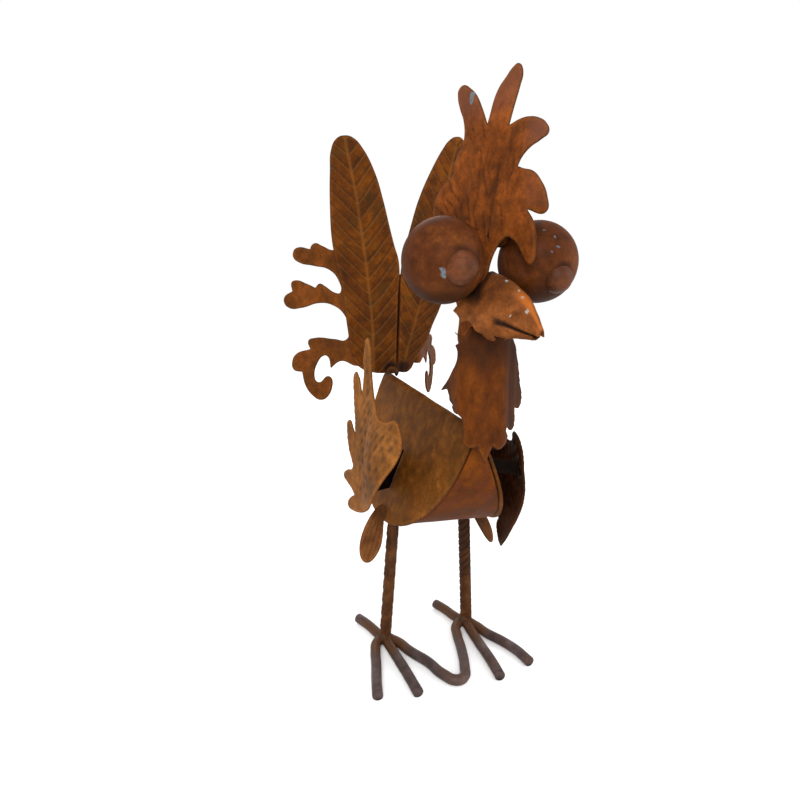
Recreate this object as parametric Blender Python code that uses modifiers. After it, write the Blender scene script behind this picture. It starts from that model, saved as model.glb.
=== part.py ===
# Scrap metal rooster: cut, folded and embossed steel sheet, two ball eyes and bent rod feet.
# Lengths are in millimetres until addPiece turns them to metres.
# The bird looks along -Y, its left side is +X, and it stands on Z = 0 under its ankles
# until the whole figure is moved so that its origin is the middle of its footprint box.
import math

import bmesh
import bpy
from mathutils import Matrix, Vector

MM = 0.001
GAP = 0.3

# Sheet and bar stock
sheetThick = 1.0
beakThick = 0.8
strapThick = 1.0
tabThick = 1.2
rodRadius = 1.95
legBar = 3.8

# Body: one disc folded along its ridge, with a belly sheet between its two halves
bodyRadius = 43.5
bodyDrop = {-1.0: 7.2, 1.0: 11.4}
bodyY = 3.4
ridgeHeight = 98.3
ridgeSlope = math.radians(4.86)
panelTilt = {-1.0: math.radians(20.0), 1.0: math.radians(25.3)}
foldRadius = 1.3
bandInset = 0.95
bandThick = 0.8

# Legs and feet
ankleX = 18.1
legTopX = 15.1
legTopY = -1.7
legTurns = 3.5
toeReach = {-1.0: 36.2, 1.0: 38.2}

# Eyes
eyeX = 15.9
eyeDrop = 0.2
eyeRadius = 12.45
eyeSquash = 0.967
pupilRadius = {-1.0: 4.9, 1.0: 4.5}
eyeWeldRadius = 3.0

# Head sheets, drawn round the point between the eyes
headY = -45.0
headHeight = 148.0
combHeight = 78.4
combTurn = math.radians(22.0)
combFlute = 0.8
combFlutes = 26
beakTurn = math.radians(17.0)

# Neck
neckTop = 19.4
neckBehind = 1.0
neckHalf = 7.0
neckX = -1.0

# Tail
tailX = 2.5
tailY = 41.0
tailSeat = 0.5
featherLean = math.radians(5.0)
featherSweep = math.radians(9.0)
barbPitch = 6.6
barbRise = math.radians(46.0)
barbDepth = 0.7
fringeY = 44.8
fringeHalf = {-1.0: 14.0, 1.0: 15.0}
fringeSweep = math.radians(55.0)

# Wings
wingHeight = 66.2
wingSplay = math.radians(8.0)
wingTilt = math.radians(6.0)
wingDome = {-1.0: 4.5, 1.0: 2.2}
wingRight = Vector((-21.5, bodyY - 29.4, ridgeHeight - 10.3))
wingLeft = Vector((20.5, bodyY - 33.4, ridgeHeight - 14.3))
wingLeftTurn = math.radians(-18.0)

# Thigh leaves
leafWidth = 10.0
leafRoot = {-1.0: Vector((0.62, -3.78, 5.54)), 1.0: Vector((-5.61, -3.96, 7.58))}
leafTip = {-1.0: Vector((-9.18, -11.08, -13.76)), 1.0: Vector((3.19, -11.26, -11.72))}

pieces = []


def makeCollection(name):
    collection = bpy.data.collections.new(name)
    bpy.context.scene.collection.children.link(collection)
    return collection


def rust(name, colour, roughness):
    material = bpy.data.materials.new(name)
    material.use_nodes = True
    shader = material.node_tree.nodes["Principled BSDF"]
    shader.inputs["Base Color"].default_value = (*colour, 1.0)
    shader.inputs["Roughness"].default_value = roughness
    shader.inputs["Metallic"].default_value = 0.3
    material.diffuse_color = (*colour, 1.0)
    return material


def evaluate(thing):
    bpy.context.view_layer.update()
    mesh = bpy.data.meshes.new_from_object(thing.evaluated_get(bpy.context.evaluated_depsgraph_get()))
    work = bmesh.new()
    work.from_mesh(mesh)
    bmesh.ops.remove_doubles(work, verts=work.verts, dist=0.001)
    bmesh.ops.recalc_face_normals(work, faces=work.faces)
    work.to_mesh(mesh)
    work.free()
    return mesh


def makeObject(name, data):
    thing = bpy.data.objects.new(name, data)
    bpy.context.scene.collection.objects.link(thing)
    return thing


def boolean(mesh, other, operation):
    thing = makeObject("work", mesh)
    tool = makeObject("tool", other)
    modifier = thing.modifiers.new("cut", "BOOLEAN")
    modifier.operation = operation
    modifier.object = tool
    result = evaluate(thing)
    bpy.data.objects.remove(thing)
    bpy.data.objects.remove(tool)
    return result


def meshFrom(work):
    bmesh.ops.recalc_face_normals(work, faces=work.faces)
    mesh = bpy.data.meshes.new("work")
    work.to_mesh(mesh)
    work.free()
    return mesh


def outlinePlate(points, depth, resolution):
    # Two numbers make a round point, and a third value makes it a sharp one.
    curve = bpy.data.curves.new("outline", "CURVE")
    curve.dimensions = "2D"
    curve.fill_mode = "BOTH"
    curve.extrude = depth
    curve.resolution_u = resolution
    spline = curve.splines.new("BEZIER")
    spline.bezier_points.add(len(points) - 1)
    spline.use_cyclic_u = True
    for knot, point in zip(spline.bezier_points, points):
        kind = "VECTOR" if len(point) > 2 else "AUTO"
        knot.co = (point[0], point[1], 0.0)
        knot.handle_left_type = kind
        knot.handle_right_type = kind
    thing = makeObject("outline", curve)
    mesh = evaluate(thing)
    bpy.data.objects.remove(thing)
    return mesh


def flatSheet(points, thick, folds, resolution=2):
    # A sheet cut to its outline, with edges run across it along each fold line.
    # A fold line is a point on it and the direction square to it.
    work = bmesh.new()
    work.from_mesh(outlinePlate(points, thick / 2.0, resolution))
    bmesh.ops.dissolve_limit(work, angle_limit=0.01, verts=work.verts, edges=work.edges)
    for point, square in folds:
        geometry = work.verts[:] + work.edges[:] + work.faces[:]
        bmesh.ops.bisect_plane(
            work, geom=geometry, dist=0.01, plane_co=(*point, 0.0), plane_no=(*square, 0.0))
    bmesh.ops.triangulate(work, faces=work.faces, ngon_method="BEAUTY")
    return meshFrom(work)


def linesAcross(values):
    return [((value, 0.0), (1.0, 0.0)) for value in values]


def linesAlong(values):
    return [((0.0, value), (0.0, 1.0)) for value in values]


def spread(low, high, steps):
    return [low + (high - low) * index / steps for index in range(steps + 1)]


def bendSheet(mesh, place):
    # place gives the middle surface; the sheet's own depth is kept along its normal.
    tiny = 0.05
    for vertex in mesh.vertices:
        u, v, depth = vertex.co
        along = place(u + tiny, v) - place(u - tiny, v)
        upward = place(u, v + tiny) - place(u, v - tiny)
        vertex.co = place(u, v) + along.cross(upward).normalized() * depth
    work = bmesh.new()
    work.from_mesh(mesh)
    bmesh.ops.recalc_face_normals(work, faces=work.faces)
    work.to_mesh(mesh)
    work.free()
    return mesh


def loftSolid(rows, closedRows=False):
    # Closed rings of points, joined ring to ring and capped at both ends.
    work = bmesh.new()
    rings = [[work.verts.new(point) for point in row] for row in rows]
    count = len(rings[0])
    for lower, upper in zip(rings, rings[1:]):
        for index in range(count):
            after = (index + 1) % count
            work.faces.new((lower[index], lower[after], upper[after], upper[index]))
    if closedRows:
        for index in range(count):
            after = (index + 1) % count
            work.faces.new((rings[-1][index], rings[-1][after], rings[0][after], rings[0][index]))
    else:
        work.faces.new(rings[0])
        work.faces.new(rings[-1])
    return meshFrom(work)


def loftSheet(rows, thick):
    # An open surface through rows of points, thickened both ways.
    work = bmesh.new()
    lines = [[work.verts.new(point) for point in row] for row in rows]
    for lower, upper in zip(lines, lines[1:]):
        for index in range(len(lower) - 1):
            work.faces.new((lower[index], lower[index + 1], upper[index + 1], upper[index]))
    thing = makeObject("sheet", meshFrom(work))
    solidify = thing.modifiers.new("sheet", "SOLIDIFY")
    solidify.thickness = thick
    solidify.offset = 0.0
    mesh = evaluate(thing)
    bpy.data.objects.remove(thing)
    return mesh


def addPiece(name, mesh, material):
    mesh.name = name
    mesh.materials.clear()
    mesh.materials.append(material)
    thing = bpy.data.objects.new(name, mesh)
    roosterCollection.objects.link(thing)
    pieces.append(thing)
    return thing


def smoothStep(value):
    value = min(max(value, 0.0), 1.0)
    return value * value * (3.0 - 2.0 * value)


def lerpTable(table, value):
    # Straight steps between the rows of a short table of key and value.
    if value <= table[0][0]:
        return table[0][1]
    for (key, low), (nextKey, high) in zip(table, table[1:]):
        if value <= nextKey:
            return low + (high - low) * (value - key) / (nextKey - key)
    return table[-1][1]


def sized(points, length):
    # An outline drawn at any size, brought to its own height with its first axis point kept.
    heights = [point[1] for point in points]
    factor = length / (max(heights) - min(heights))
    return [(point[0] * factor, point[1] * factor, *point[2:]) for point in points]


def ball(centre, radii, segments, rings):
    work = bmesh.new()
    bmesh.ops.create_uvsphere(work, u_segments=segments, v_segments=rings, radius=1.0)
    bmesh.ops.scale(work, vec=radii, verts=work.verts)
    bmesh.ops.translate(work, vec=centre, verts=work.verts)
    return meshFrom(work)


# Body

def ridgePoint(along):
    # along runs back from the middle of the ridge.
    return Vector((0.0, bodyY + along * math.cos(ridgeSlope), ridgeHeight + along * math.sin(ridgeSlope)))


def foldedBody(along, across):
    # The disc wraps over the ridge on a small radius and then runs straight down each side.
    side = 1.0 if across > 0.0 else -1.0
    turn = math.pi / 2.0 - panelTilt[side]
    arc = foldRadius * turn
    reach = abs(across)
    angle = min(reach / foldRadius, turn)
    sideways = foldRadius * math.sin(angle)
    downward = foldRadius * (1.0 - math.cos(angle))
    if reach > arc:
        sideways += (reach - arc) * math.cos(turn)
        downward += (reach - arc) * math.sin(turn)
    up = Vector((0.0, -math.sin(ridgeSlope), math.cos(ridgeSlope)))
    return ridgePoint(along) + Vector((side * sideways, 0.0, 0.0)) - up * downward


def panelNormal(side):
    tilt = panelTilt[side]
    rise = math.sin(tilt)
    return Vector((side * math.cos(tilt), -rise * math.sin(ridgeSlope), rise * math.cos(ridgeSlope)))


def panelPoint(along, depth, side, outward=0.0):
    # A point on a body half, measured along the ridge and down the slanted sheet.
    return foldedBody(along, side * depth) + panelNormal(side) * outward


def discOutline(steps):
    # Two circles whose centres lie below the fold, each by its own side's drop.
    points = []
    for side in (1.0, -1.0):
        drop = bodyDrop[side]
        start = -math.asin(drop / bodyRadius)
        sweep = math.pi - 2.0 * start
        for index in range(steps):
            angle = start + sweep * (index + 0.5) / steps
            along = bodyRadius * math.cos(angle)
            depth = drop + bodyRadius * math.sin(angle)
            points.append((along * side, depth * side))
    return points


def bodyFolds():
    arcs = [0.0]
    for side in (-1.0, 1.0):
        arc = foldRadius * (math.pi / 2.0 - panelTilt[side])
        arcs += [side * arc, side * arc / 2.0]
    return linesAlong(arcs)


def bandEnds(angle):
    # Where the belly sheet meets each half, angle running from front to back.
    radius = bodyRadius - bandInset
    ends = []
    for side in (-1.0, 1.0):
        edge = panelPoint(-radius * math.cos(angle), bodyDrop[side] + radius * math.sin(angle), side)
        inset = (sheetThick / 2.0 + GAP) / math.cos(panelTilt[side]) + bandThick * 0.25
        ends.append(Vector((edge.x - side * inset, edge.y, edge.z)))
    return ends


def bandSheet():
    # Straight across between the two halves, and round the belly with them.
    rows = []
    for angle in spread(math.radians(-4.0), math.radians(184.0), 24):
        right, left = bandEnds(angle)
        rows.append([right, right.lerp(left, 0.5), left])
    return loftSheet(rows, bandThick)


# Legs and feet

def twistedLeg(side):
    # A square bar twisted along its length, from the top of the toe rods to just under the belly sheet.
    bottom = Vector((side * ankleX, 0.0, rodRadius * 2.0 + GAP))
    right, left = bandEnds(math.acos((bodyY - legTopY) / bodyRadius))
    belly = right.lerp(left, (side * legTopX - right.x) / (left.x - right.x))
    top = Vector((side * legTopX, legTopY, belly.z - bandThick / 2.0 - GAP * 2.0))
    steps = 48
    rows = []
    for index in range(steps + 1):
        share = index / steps
        centre = bottom.lerp(top, share)
        turn = legTurns * 2.0 * math.pi * share
        row = []
        for corner in range(4):
            angle = turn + corner * math.pi / 2.0
            row.append(centre + Vector((math.cos(angle), math.sin(angle), 0.0)) * legBar / math.sqrt(2.0))
        rows.append(row)
    return loftSolid(rows)


def groundRod(plan, radius=rodRadius):
    # A bent rod lying on the ground, from its plan; a fatter one serves to cut the others clear of it.
    points = [(x, y, rodRadius) for x, y in plan]
    curve = bpy.data.curves.new("rod", "CURVE")
    curve.dimensions = "3D"
    curve.bevel_depth = radius
    curve.bevel_resolution = 2
    curve.use_fill_caps = True
    curve.resolution_u = 2
    spline = curve.splines.new("BEZIER")
    spline.bezier_points.add(len(points) - 1)
    for knot, point in zip(spline.bezier_points, points):
        knot.co = point
        knot.handle_left_type = "AUTO"
        knot.handle_right_type = "AUTO"
    thing = makeObject("rod", curve)
    mesh = evaluate(thing)
    bpy.data.objects.remove(thing)
    return mesh


zigzagPlan = [
    (-32.3, -32.2), (-29.9, -23.9), (-26.9, -14.8), (-24.5, -6.8), (-22.4, -2.0), (-18.6, 0.2),
    (-15.0, -3.0), (-11.9, -12.0), (-8.3, -20.3), (-6.0, -29.1), (-2.7, -33.7), (0.6, -32.7),
    (2.9, -28.6), (7.3, -16.9), (9.8, -8.4), (12.4, -2.4), (17.0, 0.0), (20.0, -5.0), (21.5, -11.3),
    (24.5, -18.4), (26.7, -26.0), (27.4, -34.8)]


# The middle toe and the back toe of each foot.
toePlans = {
    -1.0: [[(-18.2, -0.6), (-18.1, -12.8), (-18.1, -23.4), (-18.4, -toeReach[-1.0])],
           [(-18.9, 0.6), (-19.8, 4.4), (-21.4, 11.5), (-24.0, 18.8)]],
    1.0: [[(17.4, -0.6), (15.7, -14.0), (14.1, -29.2), (12.6, -toeReach[1.0])],
          [(16.4, 0.2), (15.0, 4.4), (13.4, 11.5), (11.4, 17.4)]]}


def toe(side, index):
    # Each toe's end is cut to sit against the zigzag rod.
    whole = groundRod(toePlans[side][index])
    return boolean(whole, groundRod(zigzagPlan, rodRadius + GAP), "DIFFERENCE")


# Head

def headPoint(turn, forward, sideways, up):
    # sideways runs to the bird's right.
    ahead = Vector((math.sin(turn), -math.cos(turn), 0.0))
    right = Vector((-math.cos(turn), -math.sin(turn), 0.0))
    return Vector((0.0, headY, headHeight)) + ahead * forward + right * sideways + Vector((0.0, 0.0, up))


combOutline = [
    (-1.2, -3.6), (-0.4, -0.4), (1.5, 3.3), (3.6, 5.7), (5.3, 6.5), (7.5, 5.6), (10.0, 2.7), (11.5, 0.4),
    (13.4, -1.5), (14.6, -0.7), (15.3, 2.5), (14.2, 10.0), (11.9, 13.5, 1), (18.1, 12.5), (18.1, 16.7),
    (16.0, 20.8), (13.3, 23.6), (10.0, 24.7), (8.1, 25.5, 1), (9.2, 27.4), (12.0, 29.8), (15.5, 31.3),
    (17.8, 32.8), (16.8, 35.3), (14.6, 36.9), (12.0, 37.7), (9.1, 37.8), (4.7, 36.7, 1), (5.9, 40.4),
    (8.0, 46.3), (8.8, 49.4), (7.4, 52.0), (5.8, 51.6), (3.2, 49.4), (0.8, 47.1), (-0.8, 44.3),
    (-2.1, 40.6),
    (-3.0, 38.2, 1), (-5.1, 43.1), (-7.5, 47.3), (-9.8, 49.4), (-12.1, 50.7), (-14.1, 49.8),
    (-14.4, 47.9),
    (-13.6, 44.7), (-11.9, 40.5), (-11.6, 36.2), (-12.4, 33.4, 1), (-15.2, 29.5), (-15.8, 25.6, 1),
    (-18.6, 24.0),
    (-21.3, 21.9), (-23.4, 18.8), (-24.2, 15.2), (-23.6, 8.0), (-20.5, 0.0), (-16.0, -8.0),
    (-12.5, -16.0),
    (-11.5, -26.4), (-2.6, -26.4, 1), (-2.4, -18.0), (-1.4, -9.0)]


combFan = (-3.0, -12.0)
combFanFrom = math.radians(28.0)
combFanStep = math.radians(5.6)


def combFolds():
    folds = []
    for index in range(combFlutes + 1):
        angle = combFanFrom + combFanStep * index
        folds.append((combFan, (math.sin(angle), -math.cos(angle))))
    return folds + linesAlong([2.0, 12.0])


def combPlace(forward, up):
    # Flutes fan out from low behind the brow and die away at the foot of the sheet.
    angle = math.atan2(up - combFan[1], forward - combFan[0])
    phase = (angle - combFanFrom) / combFanStep
    wave = abs(phase - 2.0 * math.floor(phase / 2.0) - 1.0) - 0.5
    fade = smoothStep((up - 2.0) / 14.0)
    return headPoint(combTurn, forward, combFlute * fade * wave, up)


def eyeCentre(side):
    return Vector((side * eyeX, headY, headHeight - eyeDrop))


def eyeRadii(extra):
    return (eyeRadius * eyeSquash + extra, eyeRadius + extra, eyeRadius + extra)


def eyeBall(side, weldAhead, weldUp):
    # The weld that holds the ball reaches in to the comb sheet.
    shell = ball(eyeCentre(side), eyeRadii(0.0), 20, 12)
    root = headPoint(combTurn, weldAhead, -side * (sheetThick / 2.0 + GAP), weldUp)
    normal = Vector((math.cos(combTurn), math.sin(combTurn), 0.0)) * side
    work = bmesh.new()
    bmesh.ops.create_cone(
        work, cap_ends=True, segments=10, radius1=eyeWeldRadius, radius2=eyeWeldRadius, depth=eyeX)
    turn = Vector((0.0, 0.0, 1.0)).rotation_difference(normal).to_matrix().to_4x4()
    place = Matrix.Translation(root + normal * eyeX / 2.0) @ turn
    bmesh.ops.transform(work, matrix=place, verts=work.verts)
    return boolean(shell, meshFrom(work), "UNION")


def pupil(side, direction):
    centre = eyeCentre(side) + Vector(direction).normalized() * eyeRadius * 0.85
    radius = pupilRadius[side]
    whole = ball(centre, (radius, radius, radius), 14, 8)
    return boolean(whole, ball(eyeCentre(side), eyeRadii(GAP), 32, 20), "DIFFERENCE")


# Beak: one folded sheet. Each table gives a measure at a distance forward of the eyes.
beakRidge = [
    (-8.0, -1.4), (-0.3, -3.2), (4.5, -4.8), (9.6, -7.2), (13.8, -10.2), (16.8, -13.9), (19.0, -18.2),
    (20.0, -20.9)]
beakMouth = [(-8.0, -13.0), (-4.2, -13.6), (0.2, -15.0), (5.4, -16.3), (10.5, -17.8), (15.0, -19.8),
    (20.0, -21.6)]
beakWidth = [
    (-8.0, 9.4), (-4.2, 9.0), (0.2, 8.0), (5.4, 6.6), (10.5, 4.9), (15.0, 3.0), (18.0, 1.6), (20.0, 0.6)]
beakJaw = [(-8.0, 11.4), (-1.0, 10.2), (3.0, 8.0), (7.0, 5.6), (10.5, 4.1), (15.0, 2.1), (20.0, 0.6)]
# Half of the flat pattern: forward, and around from the ridge (0) to the mouth (10) to the chin (20).
beakPattern = [
    (-0.4, 0.0, 1), (0.6, 3.2), (-2.8, 5.9), (-4.3, 9.4, 1), (-6.4, 10.8, 1), (-4.4, 11.8),
    (-4.2, 12.8, 1),
    (-0.2, 12.3), (0.4, 13.6), (2.2, 14.8, 1), (2.8, 17.0), (4.0, 18.2), (5.6, 15.8, 1), (7.4, 17.6),
    (8.6, 19.2, 1), (17.4, 19.2, 1), (17.8, 11.6, 1), (13.2, 10.8), (8.6, 10.2, 1), (13.2, 9.9),
    (19.8, 9.6, 1), (19.9, 0.0, 1)]
beakBulge = 0.5


def beakPlace(forward, around):
    side = 1.0 if around > 0.0 else -1.0
    reach = abs(around)
    width = lerpTable(beakWidth, forward)
    mouth = lerpTable(beakMouth, forward)
    if reach < 10.0:
        share = reach / 10.0
        ridge = lerpTable(beakRidge, forward)
        sideways = width * (share ** 0.8 + beakBulge * share * (1.0 - share))
        up = ridge + (mouth - ridge) * share ** 1.35
    else:
        angle = (reach - 10.0) / 10.0 * math.pi / 2.0
        sideways = width * math.cos(angle)
        up = mouth - lerpTable(beakJaw, forward) * math.sin(angle)
    return headPoint(beakTurn, forward, side * sideways, up)


def beakSheet():
    whole = beakPattern + [(point[0], -point[1], *point[2:]) for point in reversed(beakPattern[1:-1])]
    ring = [1.6, 4.0, 7.0, 10.0, 13.0, 16.0]
    folds = linesAlong([0.0] + ring + [-value for value in ring])
    folds += linesAcross([-1.0, 3.0, 6.5, 10.0, 13.0, 15.6, 18.0])
    mesh = bendSheet(flatSheet(whole, beakThick, folds, 1), beakPlace)
    for side in (-1.0, 1.0):
        mesh = boolean(mesh, ball(eyeCentre(side), eyeRadii(GAP), 32, 20), "DIFFERENCE")
    return mesh


# Neck: across is measured along the sheet from its middle, up from its top edge.
hackleOutline = [
    (-5.0, 0.0, 1), (-7.2, -2.8), (-11.8, -2.0, 1), (-8.5, -4.0), (-11.2, -6.0, 1), (-9.6, -7.8),
    (-14.0, -15.1), (-21.3, -21.6, 1), (-15.6, -21.4), (-18.0, -24.2), (-24.0, -27.4), (-30.4, -29.3, 1),
    (-24.0, -29.7), (-14.0, -28.3), (-7.6, -27.7), (-6.8, -31.1), (-6.2, -37.0), (-4.2, -37.7),
    (-1.8, -37.6, 1),
    (0.9, -43.4, 1), (3.8, -38.0, 1), (5.4, -39.2), (7.6, -38.8), (11.0, -36.2), (9.9, -33.0), (13.6, -34.4),
    (15.6, -33.6), (15.8, -27.0, 1), (19.6, -27.8), (21.4, -25.4), (19.6, -19.6), (17.0, -11.6),
    (12.6, -4.2), (5.0, 0.0, 1)]
neckRightFlank = math.radians(90.0)
neckLeftFlank = math.radians(35.0)
neckTuck = 7.4
neckFoldWidth = 3.6
neckTuckLow = -27.6
neckTuckHigh = -21.1


def hacklePlace(across, up):
    # The front is flat; the left flank turns back and the right one tucks in to the ridge.
    side = 1.0 if across > 0.0 else -1.0
    reach = abs(across)
    flat = min(reach, neckHalf - neckFoldWidth / 2.0)
    turn = neckLeftFlank if side > 0.0 else neckRightFlank
    point = Vector((neckX + side * flat, headY + neckBehind, headHeight - neckTop + up))
    past = reach - flat
    steps = 6
    for index in range(steps):
        share = min(past / neckFoldWidth, 1.0)
        angle = turn * share * (index + 0.5) / steps
        length = min(past, neckFoldWidth) / steps
        point += Vector((side * math.cos(angle), math.sin(angle), 0.0)) * length
    beyond = max(past - neckFoldWidth, 0.0)
    point += Vector((side * math.cos(turn), math.sin(turn), 0.0)) * beyond
    if side < 0.0:
        tuck = neckTuck * smoothStep((neckTuckHigh - up) / (neckTuckHigh - neckTuckLow))
        point.x += tuck * beyond / 18.5
    return point


def neckFolds():
    inner = neckHalf - neckFoldWidth / 2.0
    reaches = [inner + neckFoldWidth * share / 3.0 for share in range(4)] + [neckHalf + 8.0]
    across = linesAcross([-reach for reach in reaches] + reaches[:-1])
    return across + linesAlong(spread(neckTuckLow, neckTuckHigh, 3))


# Tail: outlines are measured out from the middle and up from the root, which is let in to the ridge.
tailHeight = ridgePoint(tailY - bodyY).z - tailSeat
featherRightEdge = [
    (0.4, 1.9, 1), (9.8, 1.9), (17.6, 5.4), (20.0, 10.1), (21.9, 21.0), (24.5, 37.8), (27.0, 49.2),
    (28.7, 58.0),
    (29.5, 71.5), (29.5, 84.7), (29.1, 92.1), (27.0, 96.4), (23.6, 97.7), (20.4, 97.0), (16.6, 93.4),
    (11.7, 85.0),
    (7.8, 74.0), (4.5, 62.3), (2.7, 56.3), (0.5, 49.4), (0.4, 33.5), (0.4, 16.2)]
featherLeftEdge = [
    (0.4, 1.9, 1), (6.0, 1.9), (10.0, 8.2), (14.4, 14.1), (17.7, 22.2), (21.5, 30.1), (25.6, 44.0),
    (29.0, 58.0),
    (31.0, 72.0), (31.8, 86.0), (31.2, 95.0), (28.8, 100.6), (25.4, 101.2), (22.0, 99.3),
    (18.8, 95.4), (13.6, 86.6),
    (9.0, 77.2), (4.9, 64.6), (2.1, 54.4), (0.6, 46.0), (0.4, 30.0), (0.4, 14.0)]
featherRightRib = [
    (1.9, 10.4), (18.6, 11.0), (33.6, 12.6), (48.1, 14.5), (62.1, 16.8), (73.7, 18.6), (83.1, 20.8),
    (97.7, 24.0)]
featherLeftRib = [
    (1.9, 2.8), (12.5, 4.6), (21.6, 7.4), (31.7, 10.4), (48.0, 13.6), (62.0, 17.0), (76.0, 20.6),
    (101.2, 25.6)]


def featherPlace(side):
    outward = Vector((side * math.cos(featherSweep), math.sin(featherSweep), 0.0))
    upward = Vector((0.0, -math.sin(featherLean), math.cos(featherLean)))

    def place(out, up):
        return Vector((tailX, tailY, tailHeight)) + outward * out + upward * up

    return place


def curveLine(points, resolution):
    # The smooth closed outline itself, as a ring of points in order.
    mesh = outlinePlate(points, 0.0, resolution)
    work = bmesh.new()
    work.from_mesh(mesh)
    edges = [edge for edge in work.edges if edge.is_boundary]
    start = edges[0].verts[0]
    ring = [start.co.copy()]
    used = {edges[0]}
    vertex = edges[0].verts[1]
    while vertex is not start:
        ring.append(vertex.co.copy())
        step = next(edge for edge in vertex.link_edges if edge.is_boundary and edge not in used)
        used.add(step)
        vertex = step.other_vert(vertex)
    work.free()
    return ring


def reachTo(ring, origin, direction):
    # How far a ray runs inside the ring before it leaves it.
    best = None
    for first, second in zip(ring, ring[1:] + ring[:1]):
        edge = second - first
        cross = direction.x * edge.y - direction.y * edge.x
        if abs(cross) < 1e-9:
            continue
        offset = first - origin
        along = (offset.x * edge.y - offset.y * edge.x) / cross
        share = (offset.x * direction.y - offset.y * direction.x) / cross
        if along > 0.0 and 0.0 <= share <= 1.0 and (best is None or along < best):
            best = along
    return best


def feather(side, edge, rib, corner):
    # Rows follow the barbs, which rise outward from the rib; every second row is pressed in.
    ring = curveLine(edge, 4)
    place = featherPlace(side)
    origin = place(0.0, 0.0)
    normal = (place(1.0, 0.0) - origin).cross(place(0.0, 1.0) - origin).normalized() * side
    foot, stemFoot = rib[0]
    length = rib[-1][0] - foot
    rows = int(length / barbPitch * 2.0)
    lines = [[edge[0][:2], (stemFoot, foot), corner]]
    for index in range(1, rows):
        up = foot + length * index / rows
        stem = Vector((lerpTable(rib, up), up, 0.0))
        ends = []
        for way in (-1.0, 1.0):
            direction = Vector((way * math.cos(barbRise), math.sin(barbRise), 0.0))
            far = stem + direction * reachTo(ring, stem, direction)
            ends.append((far.x, far.y))
        lines.append([ends[0], (stem.x, stem.y), ends[1]])
    tip = stem + Vector((0.0, reachTo(ring, stem, Vector((0.0, 1.0, 0.0))), 0.0))
    lines.append([(tip.x - barbDepth, tip.y), (tip.x, tip.y + 0.1), (tip.x + barbDepth, tip.y)])
    solid = []
    for index, line in enumerate(lines):
        press = barbDepth * (0.5 if index % 2 else -0.5)
        solid.append([place(out, up) + normal * press for out, up in line])
    return loftSheet(solid, sheetThick)


fringeOutline = [
    (0.0, 44.0), (9.0, 46.0), (14.0, 56.0), (20.0, 57.2), (25.9, 54.6), (33.2, 56.7), (36.7, 57.9),
    (39.1, 56.7), (39.7, 55.4, 1), (48.2, 56.1), (50.1, 54.4), (50.2, 52.2), (47.2, 49.9),
    (37.6, 48.0), (28.9, 46.2), (24.0, 42.0),
    (22.8, 36.6), (26.0, 36.4), (32.0, 39.3), (34.9, 40.3), (37.4, 38.4, 1), (42.1, 40.1), (50.1, 41.7),
    (52.0, 40.6),
    (51.5, 36.9, 1), (56.8, 33.7), (56.9, 31.4), (53.8, 29.1), (46.2, 29.3), (35.2, 31.7),
    (27.7, 31.0), (21.0, 27.0),
    (18.0, 20.0), (20.0, 16.2), (26.9, 16.0), (38.8, 15.9), (42.5, 14.3), (41.4, 10.7, 1),
    (51.0, 7.3), (53.1, 3.8),
    (52.6, 0.5), (46.9, -0.5, 1), (45.2, -6.5), (41.0, -10.9), (36.1, -12.7), (31.8, -10.8), (28.7, -5.0),
    (29.2, -1.8),
    (31.5, -1.1), (35.8, -4.2), (38.3, -4.0), (39.4, -1.7), (37.4, 4.5), (33.0, 8.2), (30.7, 7.7),
    (29.3, 2.8, 1),
    (23.1, 6.4), (14.7, 4.8), (6.0, 6.0), (0.0, 6.0)]
fringeFold = 3.6


def fringePlace(across, up):
    # The middle stands flat behind the feathers and both sides sweep back.
    side = 1.0 if across > 0.0 else -1.0
    reach = abs(across)
    flat = min(reach, fringeHalf[-1.0] - fringeFold / 2.0)
    past = reach - flat
    stretch = fringeHalf[side] / fringeHalf[-1.0]
    point = Vector((side * flat * stretch, fringeY, tailHeight + up))
    steps = 6
    for index in range(steps):
        share = min(past / fringeFold, 1.0)
        angle = fringeSweep * share * (index + 0.5) / steps
        length = min(past, fringeFold) / steps
        point += Vector((side * math.cos(angle), math.sin(angle), 0.0)) * length
    beyond = max(past - fringeFold, 0.0)
    return point + Vector((side * math.cos(fringeSweep), math.sin(fringeSweep), 0.0)) * beyond


def fringeFolds():
    inner = fringeHalf[-1.0] - fringeFold / 2.0
    reaches = [inner, inner + fringeFold / 3.0, inner + fringeFold * 2.0 / 3.0, inner + fringeFold]
    return linesAcross(reaches + [-reach for reach in reaches])


# Wings: back is measured along the sheet, up across it.
wingOutline = [
    (19.3, 9.8), (14.2, 7.2), (8.2, 7.0), (3.5, 8.3), (0.3, 5.9), (-1.6, 1.2), (-0.5, -4.8), (3.1, -11.4),
    (7.6, -18.1), (13.1, -24.6), (19.6, -28.9), (25.1, -31.2), (31.0, -32.2), (35.0, -32.0),
    (35.6, -30.2),
    (33.8, -27.9), (30.6, -26.0, 1), (34.0, -24.2), (38.0, -23.0), (41.6, -21.2), (38.7, -18.2),
    (35.1, -17.0),
    (33.8, -15.4, 1), (38.0, -11.0), (41.2, -5.6), (41.6, 1.0), (36.6, -1.7), (34.0, -4.8, 1),
    (36.4, 4.0),
    (38.9, 12.0), (39.2, 20.2), (35.8, 18.6), (33.6, 15.2), (32.2, 12.0, 1), (31.6, 19.0), (33.2, 28.0),
    (31.6, 33.9), (28.9, 31.0), (26.2, 23.0), (24.4, 17.4)]


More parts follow.
